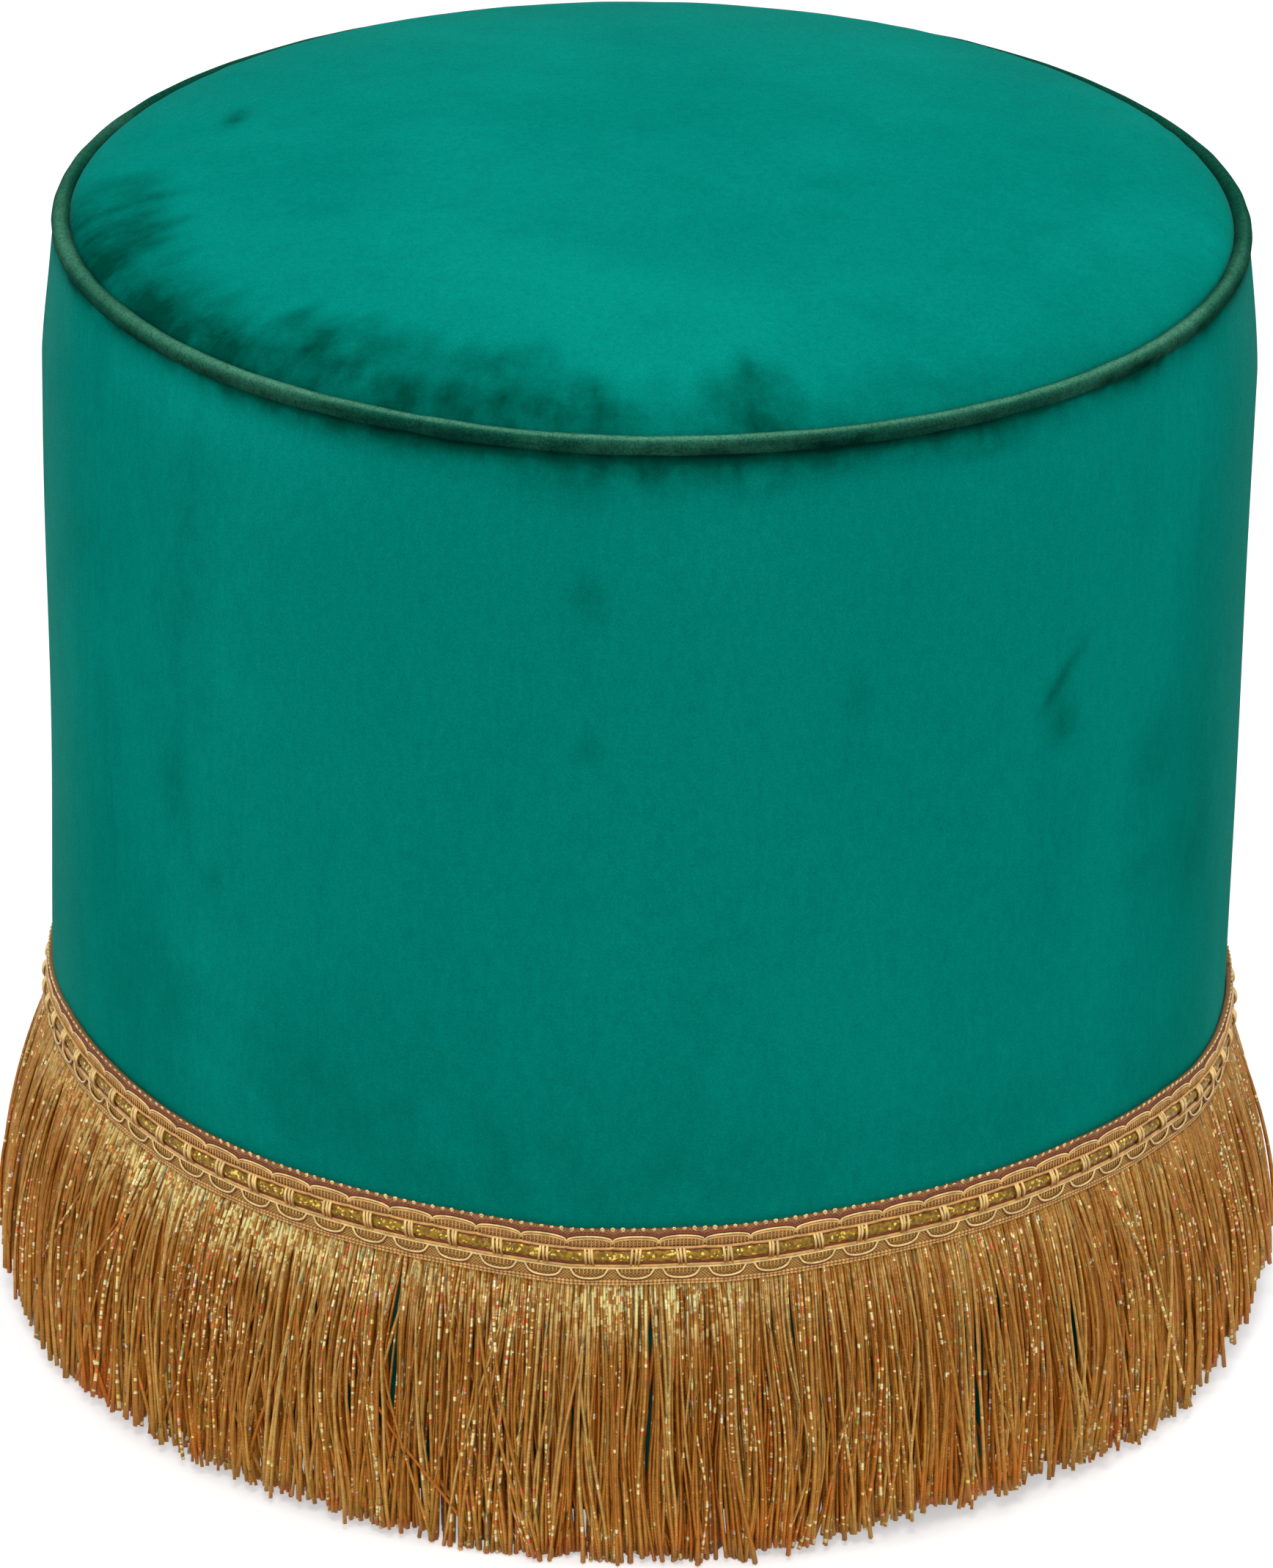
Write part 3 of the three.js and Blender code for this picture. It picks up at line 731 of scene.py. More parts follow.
def patches(angle, distance, table):
    """Sum of soft round patches. Each row of the table is the patch's angle in degrees, its
    distance in mm, its half width in degrees, its half height in mm and its strength."""
    total = np.zeros(np.broadcast_shapes(np.shape(angle), np.shape(distance)))
    for middle, level, half_angle, half_level, strength in table:
        aside = half_turn_either_way(angle - math.radians(middle)) / math.radians(half_angle)
        above = (distance - level * MM) / (half_level * MM)
        total = total + strength * np.exp(-(aside ** 2 + above ** 2))
    return total


# Cloth

CLOTH_FRAMES = 20
CLOTH_PRESSURE = 4.0
CLOTH_COLUMNS = 160
CLOTH_ROWS = 46
CLOTH_WAVES_ROUND = 36
CLOTH_WAVES_ALONG = 13
CLOTH_LIMIT = 2.5 * MM
CLOTH_QUALITY = 6
CLOTH_MASS = 0.3
CLOTH_STRETCH, CLOTH_SHEAR, CLOTH_BENDING = 15, 8, 1
FILLING_LEVELS = 40
HELD_BELOW = 0.02


def settle_as_cloth(points, faces, held, filling):
    """How far each point moves when the mesh settles as cloth under pressure from inside. held
    marks the points that stay, and filling, from 0 to 1, is the share of the pressure at each."""
    scene = bpy.context.scene
    first = scene.frame_current
    mesh = bare_mesh("cloth_rest", points, faces)
    sheet = bpy.data.objects.new("cloth_rest", mesh)
    scene.collection.objects.link(sheet)
    sheet.vertex_groups.new(name="held").add(np.flatnonzero(held).tolist(), 1.0, "REPLACE")
    stuffed = sheet.vertex_groups.new(name="filling")
    level = np.round(filling * FILLING_LEVELS)
    for step in np.unique(level):
        stuffed.add(np.flatnonzero(level == step).tolist(), step / FILLING_LEVELS, "REPLACE")
    cloth = sheet.modifiers.new("settle", "CLOTH")
    settings = cloth.settings
    settings.quality = CLOTH_QUALITY
    settings.mass = CLOTH_MASS
    settings.tension_stiffness = settings.compression_stiffness = CLOTH_STRETCH
    settings.shear_stiffness = CLOTH_SHEAR
    settings.bending_stiffness = CLOTH_BENDING
    settings.vertex_group_mass = "held"
    settings.vertex_group_pressure = "filling"
    settings.use_pressure = True
    settings.uniform_pressure_force = CLOTH_PRESSURE
    settings.effector_weights.gravity = 0
    cloth.collision_settings.use_collision = False
    cloth.point_cache.frame_start, cloth.point_cache.frame_end = 1, CLOTH_FRAMES
    for frame in range(1, CLOTH_FRAMES + 1):
        scene.frame_set(frame)
    result = sheet.evaluated_get(bpy.context.evaluated_depsgraph_get()).data
    settled = np.empty(len(points) * 3, dtype=np.float32)
    result.vertices.foreach_get("co", settled)
    scene.frame_set(first)
    bpy.data.objects.remove(sheet)
    bpy.data.meshes.remove(mesh)
    return settled.reshape(-1, 3) - points


def between(places, knots, period=None):
    """Matrix that reads values given at knots at other places, straight between neighbours."""
    units = np.eye(len(knots))
    return np.stack([np.interp(places, knots, unit, period=period) for unit in units], axis=1)


def round_waves(angle):
    """Columns of whole waves round the turn, slowest first."""
    turns = np.arange(1, CLOTH_WAVES_ROUND + 1) * angle[:, None]
    return np.concatenate([np.ones((len(angle), 1)), np.cos(turns), np.sin(turns)], axis=1)


def half_waves(share):
    """Columns of half waves over a share from 0 to 1, slowest first."""
    return np.cos(np.arange(CLOTH_WAVES_ALONG) * share[:, None] * math.pi)


def settled_move(rng, angle, radius, height, share, free, unevenness):
    """Outward and upward moves of a turned grid that settles as cloth. radius and height are
    (rows, columns), share is each row's place from 0 to 1, and free is 0 where it is held and 1
    where it moves. A coarser grid of the same form is simulated. Its moves are read back as sums of
    slow waves, without the even part of the swelling, because the grid already has its full form,
    and are capped."""
    level = np.linspace(0, 1, CLOTH_ROWS)
    turned = np.arange(CLOTH_COLUMNS) / CLOTH_COLUMNS * TURN
    along, around = between(level, share), between(turned, angle, TURN)
    points = at(turned[None, :], along @ radius @ around.T, along @ height @ around.T)
    quads = turned_faces(CLOTH_ROWS, CLOTH_COLUMNS).reshape(CLOTH_ROWS, CLOTH_COLUMNS, 4)[:-1]
    held = np.repeat(along @ free < HELD_BELOW, CLOTH_COLUMNS)
    waves = np.clip(soft_waves(rng, turned[None, :] / TURN, level[:, None], 7, 3), -1, 1)
    filling = 1 - unevenness + unevenness * waves
    faces = [quads.reshape(-1, 4)[:, ::-1]]
    move = settle_as_cloth(points.reshape(-1, 3), faces, held, filling.ravel())
    move = move.reshape(CLOTH_ROWS, CLOTH_COLUMNS, 3)
    outward = move[..., 0] * np.cos(turned) + move[..., 1] * np.sin(turned)
    read_rows = half_waves(share) @ np.linalg.pinv(half_waves(level))
    read_round = round_waves(angle) @ np.linalg.pinv(round_waves(turned))
    parts = []
    for part in (outward, move[..., 2]):
        uneven = part - part.mean(axis=1, keepdims=True)
        smooth = read_rows @ uneven @ read_round.T * free[:, None]
        parts.append(np.clip(smooth, -CLOTH_LIMIT, CLOTH_LIMIT))
    return parts


# Velvet

SEAT_COLUMNS = 400
SEAT_CROWN_ROWS = 84
SEAT_NECK_ROWS = 8
SEAT_FLOOR_ROWS = 5
# Shares of the piping's diameter: how far the seat's edge and its neck lie inside the seam's middle
SEAT_EDGE_INSET = 0.4
SEAT_NECK_INSET = 0.6
# Most waves round the turn of the broad ripples and of the gathers by the seam
SEAT_WAVES = 4
SIDE_WAVES = 7
GATHER_WAVES = 95
# Shares of the seat's radius or the side's height over which the gathers rise from the seam and
# then fade, and over which the side's ripples rise
SEAT_GATHER_RISE, SEAT_GATHER_REACH = 0.012, 0.05
SIDE_GATHER_RISE, SIDE_GATHER_REACH = 0.01, 0.04
SIDE_RIPPLE_RISE = 0.08
# How far from the seam the seat stays held, over what distance held cloth comes free, and how
# uneven its filling is
SEAT_HELD_RIM = 5 * MM
FREE_FADE = 15 * MM
POLE_FADE = 20 * MM
SEAT_UNEVENNESS = 0.12
SIDE_UNEVENNESS = 0.35
HEM_WIDTH = 35 * MM
HEM_THICKNESS = 1.5 * MM
HEM_ROUND = 3 * MM
SIDE_PADDING_DEPTH = 9.8 * MM
NAP_RADIUS = 190 * MM
NAP_STRETCH = 0.5
CROWN_POWER = 2.3
# Angle in degrees, radius in mm where the strokes start, their strength, and the strength by the
# piping, which is flattened pile and painted shade beside the piping
SEAT_BAND = [
    (-184, 190, 0, 0), (-178, 164, 0.4, 0), (-174, 161, 0.54, 0.15), (-170, 160, 0.56, 0.5),
    (-166, 164, 0.66, 0.85), (-162, 163, 0.7, 1), (-158.5, 165, 0.64, 0.85),
    (-156, 172, 0.35, 0.7), (-153, 170, 0.7, 0.9), (-148, 174, 0.55, 1.4), (-142, 172, 0.62, 1.6),
    (-138, 175, 0.6, 1.6), (-134, 174, 0.6, 1.5), (-131, 164, 0.7, 1.3), (-128, 165, 0.72, 1.2),
    (-125, 164, 0.92, 1.15), (-122, 159, 0.72, 0.9), (-119, 162, 0.54, 0.65),
    (-115, 162, 0.5, 0.6), (-110, 164, 0.5, 0.62), (-106, 161, 0.62, 0.68),
    (-103.5, 156, 0.66, 0.75), (-101, 162, 0.58, 0.75), (-98, 170, 0.62, 0.92),
    (-95.5, 171, 0.75, 0.9), (-93, 178, 0.25, 0.6), (-90, 168, 0.25, 0.45), (-86, 174, 0.22, 0.4),
    (-83, 166, 0.5, 0.45), (-79.5, 162, 0.62, 0.5), (-76, 166, 0.4, 0.35), (-73, 180, 0.22, 0.28),
    (-66, 172, 0.28, 0.2), (-62, 175, 0.26, 0.2), (-56, 182, 0.2, 0.2), (-48, 176, 0.15, 0.15),
    (-38, 165, 0.14, 0.1), (-25, 160, 0.12, 0.05), (-12, 190, 0, 0),
]
SEAT_STROKE_FADE = 19 * MM
SEAT_EDGE_START = 182 * MM
SEAT_EDGE_FADE = 12 * MM
# Soft spots: angle in degrees, radius or height in mm, half width in degrees, half height in mm and
# strength, which is negative where the pile is lighter. On the seat, the broad lighter spot at -95
# degrees is a painted pool of light. On the side, the broad spot at -90 degrees is painted shade
# over the front, and the small spots at -80 and -58 degrees just under the seam belong to the
# painted shade under the piping.
SEAT_SPOTS = [(165, 148, 3.4, 4, 0.7), (-95, 135, 40, 30, -0.1)]
SIDE_SPOTS = [
    (-80, 382, 2.5, 4, 0.25), (-58, 384, 4, 3, 0.2), (-137, 382, 20, 10, -0.18),
    (-136, 300, 3.5, 45, 0.1), (-138, 345, 4, 25, 0.08), (-139, 245, 2.5, 18, 0.18),
    (-133, 215, 2.5, 9, 0.18), (-142, 160, 7, 30, 0.18), (-148, 250, 9, 120, 0.08),
    (-136, 145, 5, 8, -0.16), (-136, 186, 3.5, 10, -0.1), (-130, 300, 4, 30, -0.08),
    (-154, 310, 5, 16, 0.12), (-131, 250, 9, 160, 0.13), (-95, 347, 1.8, 10, 0.2),
    (-71, 307, 2, 7, 0.16), (-95, 292, 1.2, 6, 0.2), (-48.6, 281, 1.7, 7, 0.5),
    (-49.2, 294, 1.3, 5, 0.12), (-24, 215, 8, 90, 0.22), (-24, 205, 5, 12, 0.15),
    (-34, 255, 3, 12, 0.22), (-30, 130, 7, 14, 0.2), (-36, 212, 4, 5, 0.16),
    (-38, 350, 3, 25, 0.1), (-100, 135, 40, 25, 0.16), (-128, 165, 10, 22, 0.1),
    (-52, 140, 10, 16, 0.1), (-115, 165, 14, 40, 0.06), (-90, 250, 45, 250, 0.17),
]
# Angle in degrees and how cloudy the side's pile is
SIDE_CLOUDY = [
    (-180, 1), (-150, 1.4), (-133, 1.4), (-122, 0.6), (-60, 0.45), (-40, 0.8), (-30, 1.3),
    (-10, 1), (20, 0.5), (150, 0.5),
]
# Painted shade: an even darkening of the whole side.
SIDE_PAINTED_SHADE = 0.05
# Angle in degrees, how dark the painted shade and flattened pile are right under the piping, and
# how far in mm that reaches down
SEAM_SHADE_AND_CRUSH = [
    (-180, 0.4, 3), (-150, 0.55, 3.2), (-139, 0.65, 3.6), (-121, 0.82, 4.8), (-105, 0.88, 6),
    (-98, 0.88, 8.6), (-90, 0.88, 7.4), (-82, 0.88, 7.2), (-75, 0.86, 5.6), (-67, 0.86, 5.6),
    (-60, 0.82, 5), (-44, 0.74, 4.6), (-25, 0.6, 4), (0, 0.4, 3), (90, 0.4, 3),
]
SEAM_SHADE_AND_CRUSH_TOP = 393.5 * MM


def soft_step(value):
    """0 below 0, 1 above 1, and a smooth rise between them."""
    share = np.clip(value, 0, 1)
    return share * share * (3 - 2 * share)


def round_table(table, angle):
    """Each column of a table after its first, read at an angle round the piece."""
    columns = np.array(table, dtype=float).T
    degrees = np.degrees(angle)
    return [np.interp(degrees, columns[0], column, period=360) for column in columns[1:]]


def seat_crush(angle, radius):
    """Flattened pile and painted shade on the seat: strokes from an inner radius outwards and a
    darker edge by the piping, which is flattened pile and painted shade, both from a table over the
    angle, plus soft spots."""
    inner, strokes, edge = round_table(SEAT_BAND, angle)
    inner = (inner + 2 * np.sin(47 * angle) + 2 * np.sin(83 * angle + 1)) * MM
    stroked = strokes * soft_step((radius - inner) / SEAT_STROKE_FADE + 0.3)
    edged = edge * soft_step((radius - SEAT_EDGE_START) / SEAT_EDGE_FADE)
    return stroked + edged * (1 - stroked) + patches(angle, radius, SEAT_SPOTS)


def side_crush(angle, height):
    """Flattened pile and painted shade on the side: a band of painted shade and flattened pile that
    fades out below the piping, soft spots, and an even painted shade over the whole side."""
    dark, reach = round_table(SEAM_SHADE_AND_CRUSH, angle)
    below = np.maximum(0, SEAM_SHADE_AND_CRUSH_TOP - height) / (reach * MM)
    band = dark * np.exp(-(below ** 1.15))
    # Painted shade: past 0.6 the band darkens fast, into a painted shadow right under the piping.
    band = 1.6 * band + 1.9 * np.maximum(0, band - 0.6)
    return band + patches(angle, height, SIDE_SPOTS) + SIDE_PAINTED_SHADE


def seam_middle(sizes):
    """Radius and height of the middle of the piping."""
    return BODY_RADIUS - sizes.seam_inset, PIPING_TOP - sizes.piping_diameter / 2


def make_seat(sizes, material):
    """The seat: a form turned about +Z. Its top is seam height plus rise times the square root of
    one less the radius share to the power 2.3, with slow ripples and small gathers by the seam."""
    rng = np.random.default_rng(7)
    seam_radius, seam_height = seam_middle(sizes)
    edge = seam_radius - SEAT_EDGE_INSET * sizes.piping_diameter
    rise = SEAT_TOP - seam_height
    share = np.sin(np.linspace(0.012, 1, SEAT_CROWN_ROWS) * math.pi / 2)
    crown_height = seam_height + rise * np.sqrt(np.maximum(0, 1 - share ** CROWN_POWER))
    neck = edge - SEAT_NECK_INSET * sizes.piping_diameter
    low = np.linspace(seam_height - sizes.piping_diameter, SEAT_BOTTOM, SEAT_NECK_ROWS)
    floor = np.linspace(0.8, 0.05, SEAT_FLOOR_ROWS) * neck
    radius = np.concatenate([share * edge, np.full(len(low), neck), floor])
    height = np.concatenate([crown_height, low, np.full(len(floor), SEAT_BOTTOM)])
    rows = len(radius)
    angle = np.arange(SEAT_COLUMNS) / SEAT_COLUMNS * TURN
    turn_share = angle[None, :] / TURN
    radius_share = np.minimum(radius / edge, 1)[:, None]
    top = (np.arange(rows) < len(share))[:, None]
    ripple = soft_waves(rng, turn_share, radius_share, SEAT_WAVES, 2.2) * sizes.ripple
    ripple = ripple * np.sin(radius_share * math.pi) ** 0.8
    gather = soft_waves(rng, turn_share, radius_share, GATHER_WAVES, 0.4, 26) * sizes.pucker
    inside = 1 - radius_share
    gather = gather * np.exp(-(inside / SEAT_GATHER_REACH) ** 2)
    gather = gather * np.minimum(1, inside / SEAT_GATHER_RISE)
    lifted = height[:, None] + np.where(top, ripple + gather, 0)
    spread = radius[:, None] + 0 * lifted
    last = len(share)
    rim = edge - radius[:last]
    free = soft_step((rim - SEAT_HELD_RIM) / FREE_FADE) * soft_step(radius[:last] / POLE_FADE)
    level = np.linspace(0, 1, last)
    move = settled_move(
        rng, angle, spread[:last], lifted[:last], level, free, SEAT_UNEVENNESS
    )
    spread[:last] += move[0]
    lifted[:last] += move[1]
    points = at(angle[None, :], spread, lifted).reshape(-1, 3)
    points = np.vstack([points, (0, 0, height[0]), (0, 0, SEAT_BOTTOM)])
    # Flattened pile, painted shade beside the piping and the painted pool of light at the front of
    # the seat.
    crush_and_shade = seat_crush(angle[None, :], radius[:, None]) * top
    nap = at(angle[None, :], NAP_RADIUS, radius[:, None] * NAP_STRETCH).reshape(-1, 3)
    values = {
        "crush_and_shade": np.concatenate([crush_and_shade.ravel(), (0, 0)]),
        "nap_place": np.vstack([nap, (0, 0, 0), (0, 0, 0)]),
        "cloudy": 1.0,
    }
    quads, start, end = capped_faces(rows, SEAT_COLUMNS)
    face_sets = [quads[:, ::-1], start[:, ::-1], end[:, ::-1]]
    piece = mesh_piece("seat_velvet", points, face_sets, material, values)
    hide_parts("seat_cover", "seat_wadding", "seat_foam")


SIDE_COLUMNS = 360
SIDE_BULGE_ROWS = 40
SIDE_STRAIGHT_ROWS = 84
HEM_STEPS = 7
# Shares of the piping's diameter: how far the side starts below the seam's middle and outside it
SIDE_START_DROP = 0.3
SIDE_START_OUT = 0.36
SIDE_BULGE_POWER = 1.25
CREASE_TOP = (-45.5, 309 * MM)
CREASE_FOOT = (-50.5, 288 * MM)
CREASE_HALF_WIDTH = 2.9 * MM
CREASE_DEPTH = 0.65 * MM
# How deep the crease is where its painted shade is full.
CREASE_SHADE_DEPTH = 1.3 * MM
# Where the side's grid is finer for the crease: from which height, or angle in degrees, to which,
# and in how many steps
CREASE_ROWS = (273 * MM, 315 * MM, 47)
CREASE_COLUMNS = (-52.725, -43.725, 61)


def crease(angle, height):
    """Depth of one short slanting fold: a narrow bell across the line from its top to its foot, and
    a broad one along it."""
    across = half_turn_either_way(angle - math.radians(CREASE_TOP[0])) * BODY_RADIUS
    run = np.array([
        math.radians(CREASE_FOOT[0] - CREASE_TOP[0]) * BODY_RADIUS, CREASE_FOOT[1] - CREASE_TOP[1],
    ])
    run_length = np.linalg.norm(run)
    place = np.stack(np.broadcast_arrays(across, height - CREASE_TOP[1]), axis=-1)
    along = place @ run / run_length
    aside = place @ np.array([-run[1], run[0]]) / run_length
    share = (along / run_length - 0.62) / 0.45
    return CREASE_DEPTH * np.exp(-(aside / CREASE_HALF_WIDTH) ** 2 - share ** 2)


def make_side(sizes, material):
    """The side: a closed padded band turned about +Z. Its outside starts under the piping, swells
    to the full radius over the bulge depth, and turns in under the base as a hem."""
    rng = np.random.default_rng(11)
    seam_radius, seam_height = seam_middle(sizes)
    start = seam_height - SIDE_START_DROP * sizes.piping_diameter
    start_radius = seam_radius + SIDE_START_OUT * sizes.piping_diameter
    straight = (sizes.bulge_depth, start - HEM_BOTTOM - HEM_ROUND)
    outside = np.concatenate([
        np.linspace(0, 1, SIDE_BULGE_ROWS) ** 1.6 * sizes.bulge_depth,
        np.linspace(*straight, SIDE_STRAIGHT_ROWS)[1:], start - np.linspace(*CREASE_ROWS),
    ])
    outside.sort()
    height = start - outside
    left = np.maximum(0, 1 - outside / sizes.bulge_depth)
    radius = BODY_RADIUS - (BODY_RADIUS - start_radius) * left ** SIDE_BULGE_POWER
    corner = np.linspace(0, math.pi / 2, HEM_STEPS)[1:]
    hem_inner = BODY_RADIUS - HEM_WIDTH
    padding_inner = BODY_RADIUS - SIDE_PADDING_DEPTH
    hem_top = HEM_BOTTOM + HEM_THICKNESS
    radius = np.concatenate([
        radius, BODY_RADIUS - HEM_ROUND * (1 - np.cos(corner)),
        [padding_inner, hem_inner, hem_inner, padding_inner, padding_inner],
    ])
    height = np.concatenate([
        height, HEM_BOTTOM + HEM_ROUND * (1 - np.sin(corner)),
        [HEM_BOTTOM, HEM_BOTTOM, hem_top, hem_top, PADDING_TOP],
    ])
    rows = len(radius)
    close = np.radians(np.linspace(*CREASE_COLUMNS)) % TURN
    angle = np.sort(np.concatenate([np.arange(SIDE_COLUMNS) / SIDE_COLUMNS * TURN, close]))
    columns = len(angle)
    shown = (np.arange(rows) < len(outside))[:, None]
    level = np.clip((height - HEM_BOTTOM) / (start - HEM_BOTTOM), 0, 1)[:, None]
    below = 1 - level
    swell = soft_waves(rng, angle[None, :] / TURN, level, SIDE_WAVES, 2.5) * sizes.ripple
    swell = swell * np.minimum(1, below / SIDE_RIPPLE_RISE)
    gather = soft_waves(rng, angle[None, :] / TURN, level, GATHER_WAVES, 0.4, 26) * sizes.pucker
    gather = gather * np.exp(-(below / SIDE_GATHER_REACH) ** 2)
    gather = gather * np.minimum(1, below / SIDE_GATHER_RISE)
    dent = crease(angle[None, :], height[:, None])
    out = radius[:, None] + np.where(shown, swell + gather - dent, 0)
    level_now = height[:, None] + 0 * out
    last = len(outside)
    free = soft_step(outside / FREE_FADE) * soft_step((height[:last] - GIMP_TOP) / FREE_FADE)
    run = outside / outside[-1]
    move = settled_move(
        rng, angle, out[:last], level_now[:last], run, free, SIDE_UNEVENNESS
    )
    out[:last] += move[0]
    level_now[:last] += move[1]
    points = at(angle[None, :], out, level_now).reshape(-1, 3)
    # Painted shade in the crease, added to the side's flattened pile and painted shade.
    crush_and_shade = side_crush(angle[None, :], height[:, None]) + dent / CREASE_SHADE_DEPTH
    nap = at(angle[None, :], NAP_RADIUS, height[:, None] * NAP_STRETCH).reshape(-1, 3)
    (cloudy,) = round_table(SIDE_CLOUDY, angle)
    values = {"crush_and_shade": (crush_and_shade * shown).ravel(), "nap_place": nap, "cloudy": np.tile(cloudy, rows)}
    face_sets = [turned_faces(rows, columns)[:, ::-1]]
    piece = mesh_piece("side_velvet", points, face_sets, material, values)
    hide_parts("side_cover", "side_padding")


# Piping

PIPING_COLUMNS, PIPING_ROWS = 600, 24
# Most waves round the ring and their size, for the place outwards, the height and the thickness
PIPING_WAVES = ((12, 0.25 * MM), (9, 0.35 * MM), (70, 0.12 * MM))
# Angle of the piping's section, up from outward, where its painted highlight is strongest.
PIPING_HIGHLIGHT_SIDE = math.radians(74)
# Angle in degrees, how strong the painted highlight on the top of the piping is there, and how
# narrow it is
PIPING_PAINTED_HIGHLIGHT = [
    (-180, 0.68, 1.1), (-145, 0.72, 1.4), (-128, 0.84, 3.4), (-108, 0.9, 7), (-70, 0.86, 7),
    (-50, 0.86, 4.5), (-30, 0.8, 3), (-10, 0.55, 2.5), (20, 0.4, 2), (90, 0.3, 2), (150, 0.4, 2),
]


def make_piping(sizes, material):
    """The piping: a ring turned about +Z whose round section wanders a little in place and
    thickness. Its top carries a painted highlight and its underside painted shade."""
    rng = np.random.default_rng(3)
    seam_radius, seam_height = seam_middle(sizes)
    share = np.arange(PIPING_COLUMNS)[None, :] / PIPING_COLUMNS
    section = -np.arange(PIPING_ROWS)[:, None] / PIPING_ROWS * TURN
    out, up, thicker = [
        soft_waves(rng, share, 0, waves, 0) * size for waves, size in PIPING_WAVES
    ]
    thick = sizes.piping_diameter / 2 + thicker
    radius = seam_radius + out + thick * np.cos(section)
    points = at(share * TURN, radius, seam_height + up + thick * np.sin(section)).reshape(-1, 3)
    # Painted highlight on the top of the piping, where the lamps from above fall.
    light, narrowness = round_table(PIPING_PAINTED_HIGHLIGHT, share * TURN)
    painted_top_highlight = light * np.clip(np.cos(section - PIPING_HIGHLIGHT_SIDE), 0, 1) ** narrowness
    nap = at(share * TURN, NAP_RADIUS, section * sizes.piping_diameter / 2).reshape(-1, 3)
    # Painted shade below, where the value stays at 0.7, and painted light on top, where it goes
    # below 0.
    values = {"crush_and_shade": (0.7 - 1.6 * painted_top_highlight).ravel(), "nap_place": nap, "cloudy": 1.0}
    faces = turned_faces(PIPING_ROWS, PIPING_COLUMNS)[:, ::-1]
    piece = mesh_piece("piping_velvet", points, [faces], material, values)
    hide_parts("piping_cloth", "piping_cord")


# Gimp braid

STEPS_PER_REPEAT = 24
PICOT_STEPS = 12
CORD_SIDES = 5
ARCH_POWER = 2.2
TAPE_FOOT = 97.2 * MM
TAPE_TOP = GIMP_TOP - 1.5 * MM
TAPE_COLUMNS, TAPE_ROWS = 430, 40
# Ribs in each of the tape's columns, and the height of one of its level threads
TAPE_RIBS = 2.37
TAPE_THREAD = 1.1 * MM
CHANNEL_LEVEL = GIMP_TOP - 9.6 * MM
CHANNEL_HALF_HEIGHT = 2.6 * MM
CHANNEL_DEPTH = 0.7 * MM
PICOT_LEVEL = GIMP_TOP - 1.3 * MM
PICOT_HALF_WIDTH = 1.25 * MM
PICOT_HALF_HEIGHT = 0.9 * MM
PICOT_THREAD = 0.36 * MM
# Levels of the metallic cord and of the two edge cords beside it
LUREX_LEVEL = GIMP_TOP - 10.9 * MM
UPPER_EDGE_LEVEL = GIMP_TOP - 7.5 * MM
LOWER_EDGE_LEVEL = GIMP_TOP - 14.2 * MM
LUREX_DEPTH_SHARE = 0.6
LUREX_SIDES = 14
LUREX_TWISTS = 260
SELVAGE_STITCHES = 11
# Angle in degrees and height in mm of the glued trim above level
TRIM_LEVEL = [
    (-180, 1.5), (-170, 3.6), (-162, 5.4), (-151, 4.7), (-137, 2.6), (-126, 2.3), (-114, 2.2),
    (-107, 1.9), (-101, 0.8), (-96, -0.3), (-91, 0.3), (-86, 1), (-82, 1), (-77, 1.9), (-72, 3.1),
    (-65, 3.9), (-55, 4.2), (-45, 4.1), (-37, 2.8), (-30, 1.4), (-22, -2), (-15, -3), (0, -1.5),
    (20, 0.5), (60, 1.2), (120, 1.2),
]


def trim_rise(angle):
    """How far the glued trim stands above level at an angle."""
    return round_table(TRIM_LEVEL, angle)[0] * MM


def round_share(trim):
    """Shares of a whole turn at the gimp's steps, and the place within each repeat."""
    steps = trim.repeats * STEPS_PER_REPEAT
    share = np.arange(steps) / steps
    return share, (share * trim.repeats) % 1


def gimp_cord(name, share, radius, height, thickness, material, values=None):
    """A cord once round the drum, at a radius and a height for each share of the turn."""
    path = at(share * TURN, radius, height + trim_rise(share * TURN))[None]
    thick = np.full((1, len(share)), thickness)
    return tubes(name, path, thick, CORD_SIDES, material, values, closed=True)


def arch(place, power=ARCH_POWER):
    """One arch for each repeat, 1 at its crown and 0 where it meets the next one."""
    return (1 - np.abs(2 * place - 1) ** power) ** (1 / power)


def hanging(place):
    """The hanging loop of each repeat: an arch over three quarters of it."""
    return arch(np.clip(place * 1.3 - 0.15, 0, 1), 2.4)


def draped_cords(share, table, bend, yarns):
    """Cords round the drum from a table. The cord's place is its own plus a bend that swings from
    0 to 1 in each repeat, times how far the cord follows it."""
    pieces = {}
    for name, out, level, out_bend, level_bend, thickness, yarn in table:
        pieces[name] = gimp_cord(
            name, share, TAPE_OUTER + (out + out_bend * bend) * MM,
            GIMP_TOP + (level + level_bend * bend) * MM, thickness * MM, yarns[yarn],
        )
    return pieces


